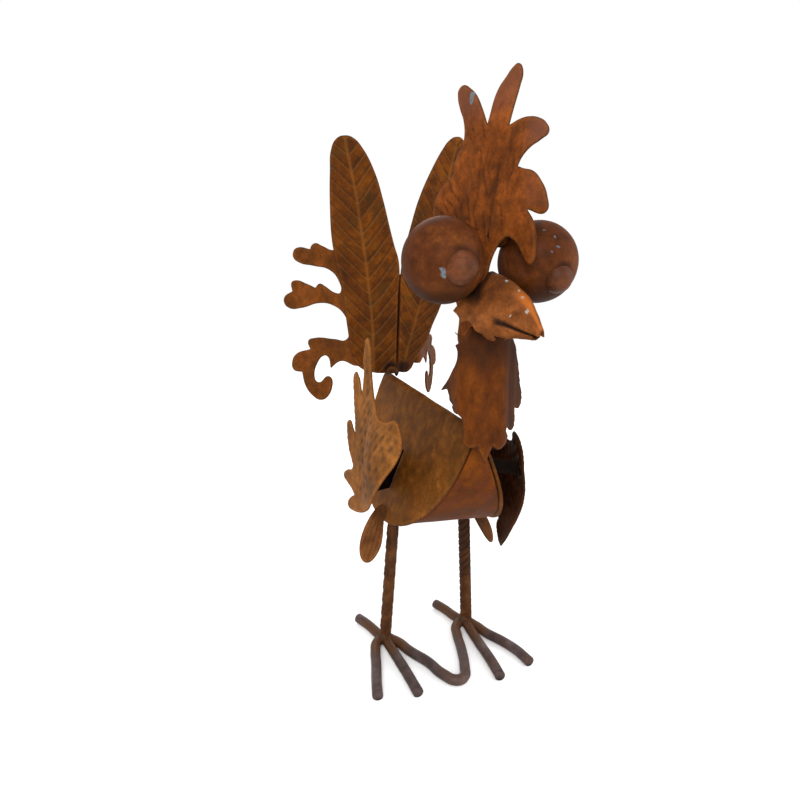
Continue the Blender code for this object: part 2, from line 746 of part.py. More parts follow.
# The left wing was cut fuller along its front edge and longer at its lowest feather.
wingLeftOutline = [
    (19.3, 9.8), (14.2, 7.2), (8.0, 3.9), (3.9, 4.0), (1.0, 6.4), (-1.8, 6.1), (-5.0, 1.4), (-4.7, -3.9),
    (-0.8, -11.2), (5.4, -18.4), (13.5, -25.6), (22.0, -31.6), (27.0, -34.4), (34.2, -37.8, 1),
    (35.6, -35.0)] + wingOutline[15:]


def wingPlace(side, root, turn):
    outward = Vector((side * math.sin(wingSplay), math.cos(wingSplay), 0.0))
    upward = Vector((-side * math.sin(wingTilt), 0.0, math.cos(wingTilt)))
    normal = Vector((side, 0.0, 0.0))

    def place(back, up):
        across = 1.0 - ((back - 11.0) / 13.5) ** 2
        along = 1.0 - ((up + 10.0) / 21.0) ** 2
        dome = wingDome[side] * max(across, 0.0) * max(along, 0.0)
        turnedBack = back * math.cos(turn) - up * math.sin(turn)
        turnedUp = back * math.sin(turn) + up * math.cos(turn)
        return root + outward * turnedBack + upward * turnedUp + normal * dome

    return place


def wingSheet(side, root, turn, outline):
    folds = linesAcross(spread(-1.0, 24.5, 6)) + linesAlong(spread(-30.0, 10.0, 8))
    return bendSheet(flatSheet(outline, sheetThick, folds), wingPlace(side, root, turn))


def strapPlate(side, along, depths, wing, wingSpots):
    # A flat plate from the body's outer face to the wing's inner face.
    clear = sheetThick / 2.0 + GAP
    inner = [panelPoint(along, depth, side, clear) for depth in depths]
    outer = [wing(*spot) - Vector((side * (clear + GAP / 2.0), 0.0, 0.0)) for spot in wingSpots]
    return loftSheet([inner, outer], strapThick)


def leafSheet(root, tip, facing):
    axis = (tip - root).normalized()
    leafLength = (tip - root).length
    across = axis.cross(Vector(facing)).normalized()
    normal = across.cross(axis)
    points = []
    steps = 14
    for index in range(steps):
        angle = 2.0 * math.pi * (index + 0.5) / steps
        along = 0.5 - 0.5 * math.cos(angle)
        width = 0.5 * leafWidth * math.sin(angle) * (0.72 + 0.28 * along)
        points.append((along * leafLength, width))

    def place(along, side):
        rib = 0.25 * math.cos(side * math.pi / 1.65)
        return root + axis * along + across * side + normal * (rib + 0.05 * side * side)

    ribs = linesAlong([-3.3, -1.65, 0.0, 1.65, 3.3])
    return bendSheet(flatSheet(points, sheetThick * 0.8, ribs, 1), place)


def trimmed(mesh, point, towards):
    # What lies past a plane is cut off, and the cut is closed.
    work = bmesh.new()
    work.from_mesh(mesh)
    geometry = work.verts[:] + work.edges[:] + work.faces[:]
    cut = bmesh.ops.bisect_plane(
        work, geom=geometry, dist=0.01, plane_co=point, plane_no=towards, clear_outer=True)
    rim = [item for item in cut["geom_cut"] if isinstance(item, bmesh.types.BMEdge)]
    bmesh.ops.holes_fill(work, edges=rim)
    return meshFrom(work)


def bodyFoot(side):
    # Just under the lowest point of a body half's cut edge.
    edge = panelPoint(0.0, bodyDrop[side] + bodyRadius, side)
    return edge - Vector((0.0, 0.0, sheetThick / 2.0 * math.sin(panelTilt[side]) + GAP * 2.0))


# The model

for thing in list(bpy.data.objects):
    bpy.data.objects.remove(thing)

roosterCollection = makeCollection("rooster")
sheetRust = rust("sheetRust", (0.15, 0.055, 0.018), 0.75)
ballRust = rust("ballRust", (0.13, 0.045, 0.03), 0.6)
rodRust = rust("rodRust", (0.11, 0.05, 0.03), 0.65)

bodyDisc = flatSheet(discOutline(15), sheetThick, bodyFolds(), 1)
addPiece("body_shell", bendSheet(bodyDisc, foldedBody), sheetRust)
addPiece("belly_band", bandSheet(), sheetRust)

addPiece("toe_zigzag", groundRod(zigzagPlan), rodRust)
addPiece("toe_middle_right", toe(-1.0, 0), rodRust)
addPiece("toe_middle_left", toe(1.0, 0), rodRust)
addPiece("toe_back_right", toe(-1.0, 1), rodRust)
addPiece("toe_back_left", toe(1.0, 1), rodRust)
addPiece("leg_right", twistedLeg(-1.0), rodRust)
addPiece("leg_left", twistedLeg(1.0), rodRust)

combFlat = flatSheet(sized(combOutline, combHeight), sheetThick, combFolds())
addPiece("comb_sheet", bendSheet(combFlat, combPlace), sheetRust)
addPiece("eye_ball_right", eyeBall(-1.0, -6.0, -1.0), ballRust)
addPiece("eye_ball_left", eyeBall(1.0, -1.0, 7.0), ballRust)
addPiece("pupil_right", pupil(-1.0, (0.045, -0.98, -0.195)), ballRust)
addPiece("pupil_left", pupil(1.0, (0.06, -0.87, -0.45)), ballRust)
addPiece("beak", beakSheet(), sheetRust)
hackleFlat = flatSheet(hackleOutline, sheetThick, neckFolds())
addPiece("neck_hackle", bendSheet(hackleFlat, hacklePlace), sheetRust)

rightFeather = feather(-1.0, featherRightEdge, featherRightRib, (17.6, 5.4))
leftFeather = feather(1.0, featherLeftEdge, featherLeftRib, (6.0, 1.9))
addPiece("tail_feather_right", rightFeather, sheetRust)
addPiece("tail_feather_left", leftFeather, sheetRust)
fringeLeft = [(-point[0], *point[1:]) for point in reversed(fringeOutline) if point[0] > 0.0]
fringeFlat = flatSheet(fringeOutline + fringeLeft, sheetThick, fringeFolds(), 1)
addPiece("tail_fringe", bendSheet(fringeFlat, fringePlace), sheetRust)
tabHeight = ridgePoint(tailY - bodyY).z + sheetThick / 2.0 + GAP * 2.0
tabFront = tailY - sheetThick / 2.0 - barbDepth / 2.0 - GAP - tabThick / 2.0


def tabPlace(across, up):
    return Vector((across, tabFront, tabHeight + up))


tabOutline = [(-3.4, 0.0, 1), (3.0, 0.0, 1), (1.9, 2.2), (0.4, 3.1), (-1.2, 3.1), (-2.4, 2.2)]
addPiece("tail_tab", bendSheet(flatSheet(tabOutline, tabThick, []), tabPlace), sheetRust)

rightWing = wingPlace(-1.0, wingRight, 0.0)
leftWing = wingPlace(1.0, wingLeft, wingLeftTurn)
rightWingSpots = ((27.5, -10.2), (27.5, -25.2))
leftWingSpots = ((-1.8, -4.3), (-0.2, -9.0))
rightStrap = strapPlate(-1.0, -2.2, (22.2, 38.1), rightWing, rightWingSpots)
leftStrap = strapPlate(1.0, -39.0, (13.0, 19.6), leftWing, leftWingSpots)
addPiece("wing_right", wingSheet(-1.0, wingRight, 0.0, sized(wingOutline, wingHeight)), sheetRust)
addPiece("wing_left", wingSheet(1.0, wingLeft, wingLeftTurn, wingLeftOutline), sheetRust)
addPiece("wing_strap_right", rightStrap, sheetRust)
addPiece("wing_strap_left", leftStrap, sheetRust)
rightFoot = panelPoint(0.0, bodyDrop[-1.0] + bodyRadius, -1.0)
leftFoot = panelPoint(0.0, bodyDrop[1.0] + bodyRadius, 1.0)
rightLeaf = leafSheet(rightFoot + leafRoot[-1.0], rightFoot + leafTip[-1.0], (-0.65, -0.75, 0.15))
leftLeaf = leafSheet(leftFoot + leafRoot[1.0], leftFoot + leafTip[1.0], (0.65, -0.75, 0.15))
rightFace = panelPoint(0.0, bodyRadius, -1.0, sheetThick / 2.0 + GAP)
addPiece("thigh_leaf_right", trimmed(rightLeaf, rightFace, -panelNormal(-1.0)), sheetRust)
addPiece("thigh_leaf_left", trimmed(leftLeaf, bodyFoot(1.0), (0.0, 0.0, 1.0)), sheetRust)

# The origin is the middle of the footprint of the whole figure.
corners = [vertex.co for thing in pieces for vertex in thing.data.vertices]
low = Vector([min(corner[axis] for corner in corners) for axis in range(3)])
high = Vector([max(corner[axis] for corner in corners) for axis in range(3)])
footprint = Vector(((low.x + high.x) / 2.0, (low.y + high.y) / 2.0, low.z))
for thing in pieces:
    thing.data.transform(Matrix.Scale(MM, 4) @ Matrix.Translation(-footprint))
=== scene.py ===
import math

import bmesh
import bpy
import numpy as np
from mathutils import Matrix, Vector, geometry, noise


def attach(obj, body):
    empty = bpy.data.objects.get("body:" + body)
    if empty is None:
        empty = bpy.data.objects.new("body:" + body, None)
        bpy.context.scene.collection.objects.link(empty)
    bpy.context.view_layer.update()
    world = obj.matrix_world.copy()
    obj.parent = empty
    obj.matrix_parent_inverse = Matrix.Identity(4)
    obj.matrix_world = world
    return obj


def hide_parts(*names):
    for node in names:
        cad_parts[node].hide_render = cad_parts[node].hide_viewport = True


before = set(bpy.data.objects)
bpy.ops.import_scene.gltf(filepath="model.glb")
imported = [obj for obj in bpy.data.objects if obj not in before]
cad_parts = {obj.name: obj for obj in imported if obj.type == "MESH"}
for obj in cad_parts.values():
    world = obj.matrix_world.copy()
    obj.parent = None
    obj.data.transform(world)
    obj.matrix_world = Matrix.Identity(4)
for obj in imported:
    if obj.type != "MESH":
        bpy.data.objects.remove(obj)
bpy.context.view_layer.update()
print("frame loaded:", len(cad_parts), "nodes")

# Everything below is drawn in millimetres round the ankles, then scaled and moved on to the frame.
mm = 0.001
toFrame = Matrix.Scale(mm, 4) @ Matrix.Translation((-0.4357, -7.9396, 0.0))


# Small helpers

def smoothStep(value, low=0.0, high=1.0):
    share = min(max((value - low) / (high - low), 0.0), 1.0)
    return share * share * (3.0 - 2.0 * share)


def lookUp(table, value):
    # Straight steps between the rows of a short table
    if value <= table[0][0]:
        return table[0][1]
    for (key, low), (nextKey, high) in zip(table, table[1:]):
        if value <= nextKey:
            return low + (high - low) * (value - key) / (nextKey - key)
    return table[-1][1]


def lump(x, y, z, seed=0.0):
    return noise.noise(Vector((x, y, z + seed)))


def linear(hexColour):
    # sRGB hex to the linear values that the shaders want
    values = []
    for start in (1, 3, 5):
        part = int(hexColour[start:start + 2], 16) / 255.0
        values.append(part / 12.92 if part <= 0.04045 else ((part + 0.055) / 1.055) ** 2.4)
    return (*values, 1.0)


# Materials: weathered mild steel under a dry coat of brown iron oxide. The oxide is matt, so hardly any
# of the window light is mirrored: the eye gets deep warm browns, fine dark pits and rubbed orange edges,
# and grey metal only where the coat is worn through.

def addNode(tree, kind, links=None, output=0, stops=(), **settings):
    # Gives back the output asked for; stops are the places and colours of a colour ramp
    node = tree.nodes.new(kind)
    for name, value in settings.items():
        setattr(node, name, value)
    for name, value in (links or {}).items():
        if isinstance(value, bpy.types.NodeSocket):
            tree.links.new(value, node.inputs[name])
        else:
            node.inputs[name].default_value = value
    for extra in stops[2:]:
        node.color_ramp.elements.new(0.5)
    for number, (place, colour) in enumerate(stops):
        element = node.color_ramp.elements[number]
        element.position = place
        element.color = linear(colour) if isinstance(colour, str) else (colour, colour, colour, 1.0)
    return node.outputs[output] if node.outputs else node


def patternScale(sizeMm):
    return 1.0 / (sizeMm * mm)


def rustedSteel(name, look):
    material = bpy.data.materials.new(name)
    material.use_nodes = True
    tree = material.node_tree
    tree.nodes.clear()
    where = addNode(tree, "ShaderNodeTexCoord", output="Object")
    drawn = addNode(tree, "ShaderNodeMapping", {"Vector": where, "Scale": look["stretch"]})
    broad, middle, grain, film = [
        addNode(tree, "ShaderNodeTexNoise", {
            "Vector": vector, "Scale": patternScale(look[size]), **given}, noise_dimensions=kind)
        for size, vector, kind, given in (
            ("patchMm", where, "3D", {"Detail": 3.0, "Roughness": 0.55, "Distortion": 0.4}),
            ("mottleMm", drawn, "3D", {"Detail": 5.0, "Roughness": 0.62}),
            ("grainMm", drawn, "3D", {"Detail": 3.0, "Roughness": 0.6}),
            ("filmMm", where, "4D", {"Detail": 4.0, "Roughness": 0.6, "W": 3.0}))]
    pits = addNode(tree, "ShaderNodeTexVoronoi", {"Vector": where, "Scale": patternScale(look["pitMm"])})
    rim, burnAndShade, worn, tintAndLight = [
        addNode(tree, "ShaderNodeAttribute", output="Fac", attribute_name=kind)
        for kind in ("rim", "burnAndShade", "worn", "tintAndLight")]
    clouds = 0.0
    for layer, share in ((broad, look["patchShare"]), (middle, 1.0 - look["patchShare"])):
        clouds = addNode(tree, "ShaderNodeMath", {0: layer, 1: share, 2: clouds}, operation="MULTIPLY_ADD")
    rubbed = rim
    for factor in (middle, look["rimShare"]):
        rubbed = addNode(tree, "ShaderNodeMath", {0: rubbed, 1: factor}, operation="MULTIPLY")
    bare = addNode(tree, "ShaderNodeMath", {0: worn, 1: grain, 2: -0.25}, operation="MULTIPLY_ADD")
    dark, mid, light = look["colours"]
    colour, filmPart, grainShade, pitShade, barePart, gloss, pitDepth = [
        addNode(tree, "ShaderNodeValToRGB", {"Fac": factor}, stops=stops) for factor, stops in (
            (clouds, ((0.36, dark), (0.5, mid), (0.64, light))),
            (film, ((0.52, 0.0), (0.68, look["filmShare"]))),
            (grain, ((0.3, 0.62), (0.62, 1.0))),
            (pits, ((0.05, 0.45), (0.22, 1.0))),
            (bare, ((0.0, 0.0), (0.22, 1.0))),
            (middle, ((0.3, look["rough"] - 0.06), (0.7, look["rough"] + 0.1))),
            (pits, ((0.0, 0.0), (0.25, 1.0))))]
    # A film of another tint, grain and pits, then tints mixed with painted shade and painted highlights, rubbed
    # edges, burnt edges and crevices mixed with painted shade under parts and in creases, and bare worn spots
    for factor, over, blend in (
            (filmPart, linear(look["film"]), "MIX"), (look["grainShare"], grainShade, "MULTIPLY"),
            (look["pitShare"], pitShade, "MULTIPLY"), (tintAndLight, linear(look["tintAndLight"]), "MIX"),
            (rubbed, linear(look["rim"]), "MIX"), (burnAndShade, linear(look["burnAndShadeColour"]), "MIX"),
            (barePart, linear(look["worn"]), "MIX")):
        colour = addNode(tree, "ShaderNodeMix", {0: factor, 6: colour, 7: over}, 2, data_type="RGBA",
                         blend_type=blend)
    height = 0.0
    for layer, share in ((grain, 0.5), (middle, 0.9), (pitDepth, look["pitShare"])):
        height = addNode(tree, "ShaderNodeMath", {0: layer, 1: share, 2: height}, operation="MULTIPLY_ADD")
    bump = addNode(tree, "ShaderNodeBump", {
        "Height": height, "Strength": look["bump"], "Distance": look["bumpMm"] * mm})
    shader = addNode(tree, "ShaderNodeBsdfPrincipled", {
        "Base Color": colour, "Roughness": gloss, "Metallic": look["metal"], "Normal": bump,
        "Specular IOR Level": look["sheen"]})
    addNode(tree, "ShaderNodeOutputMaterial", {"Surface": shader})
    return material


# Rust grain is really about 0.2 mm, too fine to show, so grain and pits are drawn at about 1 mm
plainLook = {
    "colours": ("#522e0a", "#6c3e12", "#8b541f"), "patchMm": 16.0, "mottleMm": 3.2, "grainMm": 0.7,
    "pitMm": 1.1, "patchShare": 0.5, "film": "#45300e", "filmMm": 9.0, "filmShare": 0.45,
    "grainShare": 0.6, "pitShare": 0.3, "rim": "#8a4f1c", "rimShare": 0.5, "tintAndLight": "#5a3214",
    "rough": 0.6, "bump": 0.6, "bumpMm": 0.12, "metal": 0.0, "sheen": 0.06, "worn": "#566067",
    "burnAndShadeColour": "#150b07", "stretch": (1.0, 1.0, 1.0)}
looks = {
    # Olive-brown oxide in broad clouds, as on a plate that has weathered flat
    "bodySteel": ("rustedSteelBody", {}),
    # The same plate with a redder, tighter rust on the belly
    "bellySteel": ("rustedSteelBelly", {
        "colours": ("#3e1d02", "#512603", "#663304"), "film": "#5a2a18", "filmShare": 0.6, "patchMm": 20.0,
        "rimShare": 0.2}),
    # Orange-brown rust with mauve heat tints at the lobes that were torch cut
    "combSteel": ("rustedSteelComb", {
        "colours": ("#4b2408", "#67330e", "#884617"), "film": "#4a2a14", "filmMm": 12.0, "tintAndLight": "#5e3a2c"}),
    # Fresh light rust, with a painted orange highlight along the ridge
    "beakSteel": ("rustedSteelBeak", {
        "colours": ("#4d280f", "#663715", "#874c22"), "film": "#5a3a20", "filmMm": 5.0, "patchMm": 9.0,
        "tintAndLight": "#a85a1e", "worn": "#8a8984"}),
    # Even dark rust on the hanging folds, drawn out a little by the rain
    "hackleSteel": ("rustedSteelHackle", {
        "colours": ("#391902", "#502503", "#673305"), "stretch": (1.0, 1.0, 0.6), "film": "#3f2008"}),
    # Dark oxide with a grey-green cast; the tint colour is a painted highlight along the raised barb lines and
    # the rib
    "featherSteel": ("rustedSteelFeather", {
        "colours": ("#3a1c03", "#502703", "#673606"), "film": "#41300f", "filmMm": 7.0, "filmShare": 0.5,
        "tintAndLight": "#744718", "rimShare": 0.35}),
    # Plain red-brown rust on the curled plate, with little of its edges rubbed
    "fringeSteel": ("rustedSteelFringe", {
        "colours": ("#432205", "#5a2f09", "#743c10"), "film": "#45230a", "rimShare": 0.4}),
    # The hammered wing is rubbed light on the high places and keeps grey dirt in the hammer marks
    "wingSteel": ("rustedSteelWing", {
        "colours": ("#543212", "#6f431a", "#8a5626"), "film": "#54402c", "filmShare": 0.65, "tintAndLight": "#38281a",
        "rim": "#a8662c", "rimShare": 0.9, "bump": 0.45, "grainShare": 0.4, "pitShare": 0.15}),
    # Painted shade: a shaded copy of the wing steel, nearly black, for the far wing, which is seen from inside
    "shadedWingSteel": ("rustedSteelShadedWing", {
        "colours": ("#1e0b02", "#301404", "#482208"), "film": "#33200c", "rim": "#5a3418", "rimShare": 0.6,
        "tintAndLight": "#1c0d04"}),
    # Brown rust on the pressed leaves, darker in the grooves between the veins
    "leafSteel": ("rustedSteelLeaf", {
        "colours": ("#40240d", "#573115", "#6f4420"), "film": "#4a3016", "tintAndLight": "#331c0c"}),
    # Pressed steel balls: smooth brown rust with a mauve bloom and fine speckles; the tint colour is painted
    # shade on the underside of each ball
    "eyeSteel": ("rustedBallEye", {
        "colours": ("#371a07", "#4c250c", "#633513"), "tintAndLight": "#3a1c06", "film": "#543022", "filmMm": 10.0,
        "filmShare": 0.5, "grainMm": 0.9, "grainShare": 0.45, "pitShare": 0.35, "pitMm": 1.6, "rough": 0.55,
        "bump": 0.3, "bumpMm": 0.08, "sheen": 0.05}),
    # Smaller pressed domes, a little shinier than the balls
    "pupilSteel": ("rustedBallPupil", {
        "colours": ("#381a08", "#4b250d", "#623216"), "film": "#5a3a26", "filmMm": 4.0, "rough": 0.55,
        "bump": 0.3, "bumpMm": 0.08, "sheen": 0.14}),
    # Forged bar and rod keep a mauve mill scale under the brown
    "legSteel": ("rustedBarLeg", {
        "colours": ("#301a0b", "#472914", "#5c381d"), "film": "#3a2418", "filmMm": 5.0, "patchMm": 10.0}),
    "toeSteel": ("rustedRodToe", {
        "colours": ("#312523", "#433532", "#574745"), "film": "#553626", "filmMm": 8.0, "patchMm": 12.0,
        "tintAndLight": "#4a2d16", "rough": 0.5, "bump": 0.35, "bumpMm": 0.08, "sheen": 0.14, "grainShare": 0.4}),
    # Weld beads burn the coat nearly black
    "weldSteel": ("rustedWeldBead", {
        "colours": ("#2a1304", "#3c1e08", "#52300f"), "patchMm": 5.0, "mottleMm": 1.6}),
    # Painted shade: the whole strap is painted black and matt, as it sits in shadow between the wing and the
    # body
    "shadedStrapSteel": ("shadedStrap", {
        "colours": ("#070302", "#0e0704", "#1c1008"), "film": "#0a0604", "rim": "#2a180c", "rimShare": 0.2,
        "sheen": 0.02, "rough": 0.8})}
finishes = {finish: rustedSteel(name, {**plainLook, **changes}) for finish, (name, changes) in looks.items()}
print("finishes made:", len(finishes))


# Pieces

sides = {-1.0: "right", 1.0: "left"}


def linked(name, data):
    thing = bpy.data.objects.new(name, data)
    bpy.context.scene.collection.objects.link(thing)
    return thing


def addPiece(name, mesh, finish, *nodes):
    mesh.name = name
    mesh.materials.clear()
    mesh.materials.append(finishes[finish])
    mesh.transform(toFrame)
    for polygon in mesh.polygons:
        polygon.use_smooth = True
    thing = linked(name, mesh)
    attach(thing, "root")
    if nodes:
        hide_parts(*nodes)


def evaluated(thing):
    bpy.context.view_layer.update()
    mesh = bpy.data.meshes.new_from_object(thing.evaluated_get(bpy.context.evaluated_depsgraph_get()))
    bpy.data.objects.remove(thing)
    return mesh


def cutAway(mesh, tool):
    thing = linked("cut", mesh)
    other = linked("cutter", tool)
    modifier = thing.modifiers.new("cut", "BOOLEAN")
    modifier.operation = "DIFFERENCE"
    modifier.object = other
    result = evaluated(thing)
    bpy.data.objects.remove(other)
    return result


def facesOut(mesh, change=None):
    # Turns the faces outwards, after a change to the mesh where one is given
    work = bmesh.new()
    work.from_mesh(mesh)
    if change:
        change(work)
    bmesh.ops.recalc_face_normals(work, faces=work.faces)
    work.to_mesh(mesh)
    work.free()


def bezierMesh(points, height=0.0, flat=False, resolution=12):
    # Two numbers make a round point and a third one a sharp point
    curve = bpy.data.curves.new("line", "CURVE")
    curve.dimensions = "2D" if flat else "3D"
    curve.fill_mode = "NONE" if flat else "FULL"
    curve.resolution_u = resolution
    spline = curve.splines.new("BEZIER")
    spline.bezier_points.add(len(points) - 1)
    spline.use_cyclic_u = flat
    for knot, point in zip(spline.bezier_points, points):
        knot.co = (point[0], point[1], height)
        knot.handle_left_type = knot.handle_right_type = "VECTOR" if len(point) > 2 else "AUTO"
    return evaluated(linked("line", curve))


def scaled(points, wide, high):
    return [(point[0] * wide, point[1] * high, *point[2:]) for point in points]


def sized(points, length):
    heights = [point[1] for point in points]
    factor = length / (max(heights) - min(heights))
    return scaled(points, factor, factor)


def outlineRing(points, step):
    # The outline as evenly spaced points that keep its sharp ones
    dense = [Vector(vertex.co[:2]) for vertex in bezierMesh(points, flat=True).vertices]
    sharp = [Vector(point[:2]) for point in points if len(point) > 2]
    corners = [index for index, point in enumerate(dense) if any((point - end).length < 1e-3 for end in sharp)]
    corners = corners or [0]
    ring = []
    for number, start in enumerate(corners):
        end = corners[(number + 1) % len(corners)]
        if end <= start:
            end += len(dense)
        line = [dense[index % len(dense)] for index in range(start, end + 1)]
        lengths = [0.0]
        for first, second in zip(line, line[1:]):
            lengths.append(lengths[-1] + (second - first).length)
        count = max(1, round(lengths[-1] / step))
        place = 0
        for index in range(count):
            target = lengths[-1] * index / count
            while lengths[place + 1] < target:
                place += 1
            span = lengths[place + 1] - lengths[place]
            ring.append(line[place].lerp(line[place + 1], (target - lengths[place]) / span if span else 0.0))
    area = sum(a.x * b.y - b.x * a.y for a, b in zip(ring, ring[1:] + ring[:1]))
    return ring if area > 0.0 else ring[::-1]


def ringDistance(ring, spots):
    # Distance of each spot to the ring, and whether it lies inside
    spots = np.array(spots)
    distance = np.full(len(spots), 1e9)
    inside = np.zeros(len(spots), bool)
    for first, second in zip(ring, ring[1:] + ring[:1]):
        a = np.array(first)
        b = np.array(second)
        edge = b - a
        share = np.clip(((spots - a) @ edge) / max(edge @ edge, 1e-12), 0.0, 1.0)
        gap = np.hypot(*(spots - a - share[:, None] * edge).T)
        distance = np.minimum(distance, gap)
        crosses = (a[1] > spots[:, 1]) != (b[1] > spots[:, 1])
        if edge[1]:
            at = a[0] + (spots[:, 1] - a[1]) / edge[1] * edge[0]
            inside ^= crosses & (spots[:, 0] < at)
    return distance, inside


def setAttribute(mesh, name, values):
    layer = mesh.attributes.new(name, "FLOAT", "POINT")
    layer.data.foreach_set("value", np.array(values, np.float32))


plainSheet = {"edge": 0.45, "rimWidth": 1.3, "edgeBurn": 0.6, "burnWidth": 0.25, "thinEdge": 0.35,
              "rowShare": 0.866, "clearShare": 0.45, "tiny": 0.05}


def cutSheet(points, sheet, place, relief=None, marks=None):
    # A sheet cut to its outline, meshed finely, embossed by relief(u, v, rim distance) and bent by place(u, v)
    sheet = {**plainSheet, **sheet}
    step = sheet["step"]
    ring = outlineRing(points, step)
    low = [min(point[axis] for point in ring) for axis in range(2)]
    high = [max(point[axis] for point in ring) for axis in range(2)]
    spots = []
    row = 0
    v = low[1]
    while v < high[1]:
        u = low[0] + (step / 2.0 if row % 2 else 0.0)
        while u < high[0]:
            spots.append((u, v))
            u += step
        v += step * sheet["rowShare"]
        row += 1
    distance, inside = ringDistance(ring, spots)
    keep = inside & (distance > step * sheet["clearShare"])
    verts = ring + [Vector(spot) for spot, good in zip(spots, keep) if good]
    flat, triangles = geometry.delaunay_2d_cdt(verts, [], [list(range(len(ring)))], 1, 1e-5)[:3:2]
    distance = ringDistance(ring, [tuple(vertex) for vertex in flat])[0]
    front = []
    back = []
    tiny = sheet["tiny"]
    for (u, v), away in zip(flat, distance):
        centre = place(u, v)
        along = place(u + tiny, v) - place(u - tiny, v)
        upward = place(u, v + tiny) - place(u, v - tiny)
        normal = along.cross(upward).normalized()
        share = min(away / sheet["edge"], 1.0)
        swell = math.sqrt(max(0.0, 1.0 - (1.0 - share) ** 2))
        depth = sheet["thick"] / 2.0 * (sheet["thinEdge"] + (1.0 - sheet["thinEdge"]) * swell)
        raised = relief(u, v, away) if relief else 0.0
        front.append(centre + normal * (raised + depth))
        back.append(centre + normal * (raised - depth))
    count = len(flat)
    faces = [tuple(face) for face in triangles]
    faces += [tuple(count + index for index in reversed(face)) for face in triangles]
    edges = dict.fromkeys(pair for face in triangles for pair in zip(face, face[1:] + face[:1]))
    faces += [(second, first, count + first, count + second) for first, second in edges
              if (second, first) not in edges]
    mesh = bpy.data.meshes.new("sheet")
    mesh.from_pydata(front + back, [], faces)
    facesOut(mesh)
    rim = [max(0.0, 1.0 - away / sheet["rimWidth"]) for away in distance]
    setAttribute(mesh, "rim", rim + rim)
    paint(mesh, marks or {}, flat, distance)
    # The cut edge itself is burnt dark
    edgeBurn = [sheet["edgeBurn"] * (1.0 - smoothStep(away, 0.0, sheet["burnWidth"])) for away in distance]
    for shade, dark in zip(mesh.attributes["burnAndShade"].data, edgeBurn + edgeBurn):
        shade.value = max(shade.value, dark)
    return mesh


def paint(mesh, marks, flat=None, distance=None):
    # marks holds spots as (x, y, z, radius, strength), and for a sheet a rule on its flat place
    values = {"burnAndShade": [], "worn": [], "tintAndLight": []}
    for number, vertex in enumerate(mesh.vertices):
        for kind, numbers in values.items():
            total = 0.0
            for *centre, radius, strength in marks.get(kind, []):
                gap = (vertex.co - Vector(centre)).length
                if gap < radius * 1.6:
                    ragged = gap + radius * 0.35 * lump(*(vertex.co * (1.6 / radius)), 5.0)
                    total = max(total, strength * (1.0 - smoothStep(ragged, radius * 0.55, radius * 1.1)))
            if kind + "Rule" in marks:
                spot = number % len(flat)
                total = max(total, marks[kind + "Rule"](*flat[spot], distance[spot]))
            numbers.append(min(total, 1.0))
    for kind, numbers in values.items():
        setAttribute(mesh, kind, numbers)


# Body: a disc folded along its ridge, and the belly sheet between its halves

body = {"radius": 43.5, "drop": {-1.0: 7.2, 1.0: 11.4}, "y": 3.4, "ridge": 98.3, "slope": math.radians(4.86),
        "tilt": {-1.0: math.radians(20.0), 1.0: math.radians(25.3)}, "fold": 1.3, "thick": 1.0, "step": 1.0,
        "outlineSteps": 40, "gap": 0.3}
band = {"inset": 0.95, "thick": 0.8, "step": 1.4, "rimWidth": 0.8, "width": 40.0,
        "ends": (math.radians(-4.0), math.radians(184.0))}


def foldedBody(along, across):
    side = 1.0 if across > 0.0 else -1.0
    turn = math.pi / 2.0 - body["tilt"][side]
    arc = body["fold"] * turn
    reach = abs(across)
    angle = min(reach / body["fold"], turn)
    sideways = body["fold"] * math.sin(angle)
    downward = body["fold"] * (1.0 - math.cos(angle))
    if reach > arc:
        sideways += (reach - arc) * math.cos(turn)
        downward += (reach - arc) * math.sin(turn)
    slope = body["slope"]
    ridge = Vector((0.0, body["y"] + along * math.cos(slope), body["ridge"] + along * math.sin(slope)))
    return ridge + Vector((side * sideways, downward * math.sin(slope), -downward * math.cos(slope)))


def panelNormal(side):
    tilt = body["tilt"][side]
    slope = body["slope"]
    return Vector((side * math.cos(tilt), -math.sin(tilt) * math.sin(slope), math.sin(tilt) * math.cos(slope)))


def panelPoint(along, depth, side, outward=0.0):
    return foldedBody(along, side * depth) + panelNormal(side) * outward


def discOutline():
    points = []
    for side in (1.0, -1.0):
        drop = body["drop"][side]
        start = -math.asin(drop / body["radius"])
        sweep = math.pi - 2.0 * start
        for index in range(body["outlineSteps"]):
            angle = start + sweep * (index + 0.5) / body["outlineSteps"]
            across = drop + body["radius"] * math.sin(angle)
            points.append((body["radius"] * math.cos(angle) * side, across * side))
    return points


def bodyRelief(u, v, away):
    return 0.3 * lump(u / 17.0, v / 17.0, 2.0) + 0.06 * lump(u / 3.5, v / 3.5, 7.0)


def bandEnds(angle):
    radius = body["radius"] - band["inset"]
    ends = []
    for side in sides:
        edge = panelPoint(-radius * math.cos(angle), body["drop"][side] + radius * math.sin(angle), side)
        inset = (body["thick"] / 2.0 + body["gap"]) / math.cos(body["tilt"][side]) + band["thick"] * 0.25
        ends.append(Vector((edge.x - side * inset, edge.y, edge.z)))
    return ends


def bandPlace(along, across):
    # along is the arc round the belly, across runs from the right half of the disc to the left
    right, left = bandEnds(along / body["radius"])
    return right.lerp(left, across / band["width"])


def bandRelief(u, v, away):
    return 0.12 * lump(u / 9.0, v / 9.0, 1.0)


def bodyBurn(u, v, away):
    # Duller along the ridge, where the neck and the tail keep the rain off
    return 0.28 * (1.0 - smoothStep(abs(v), 4.0, 28.0))


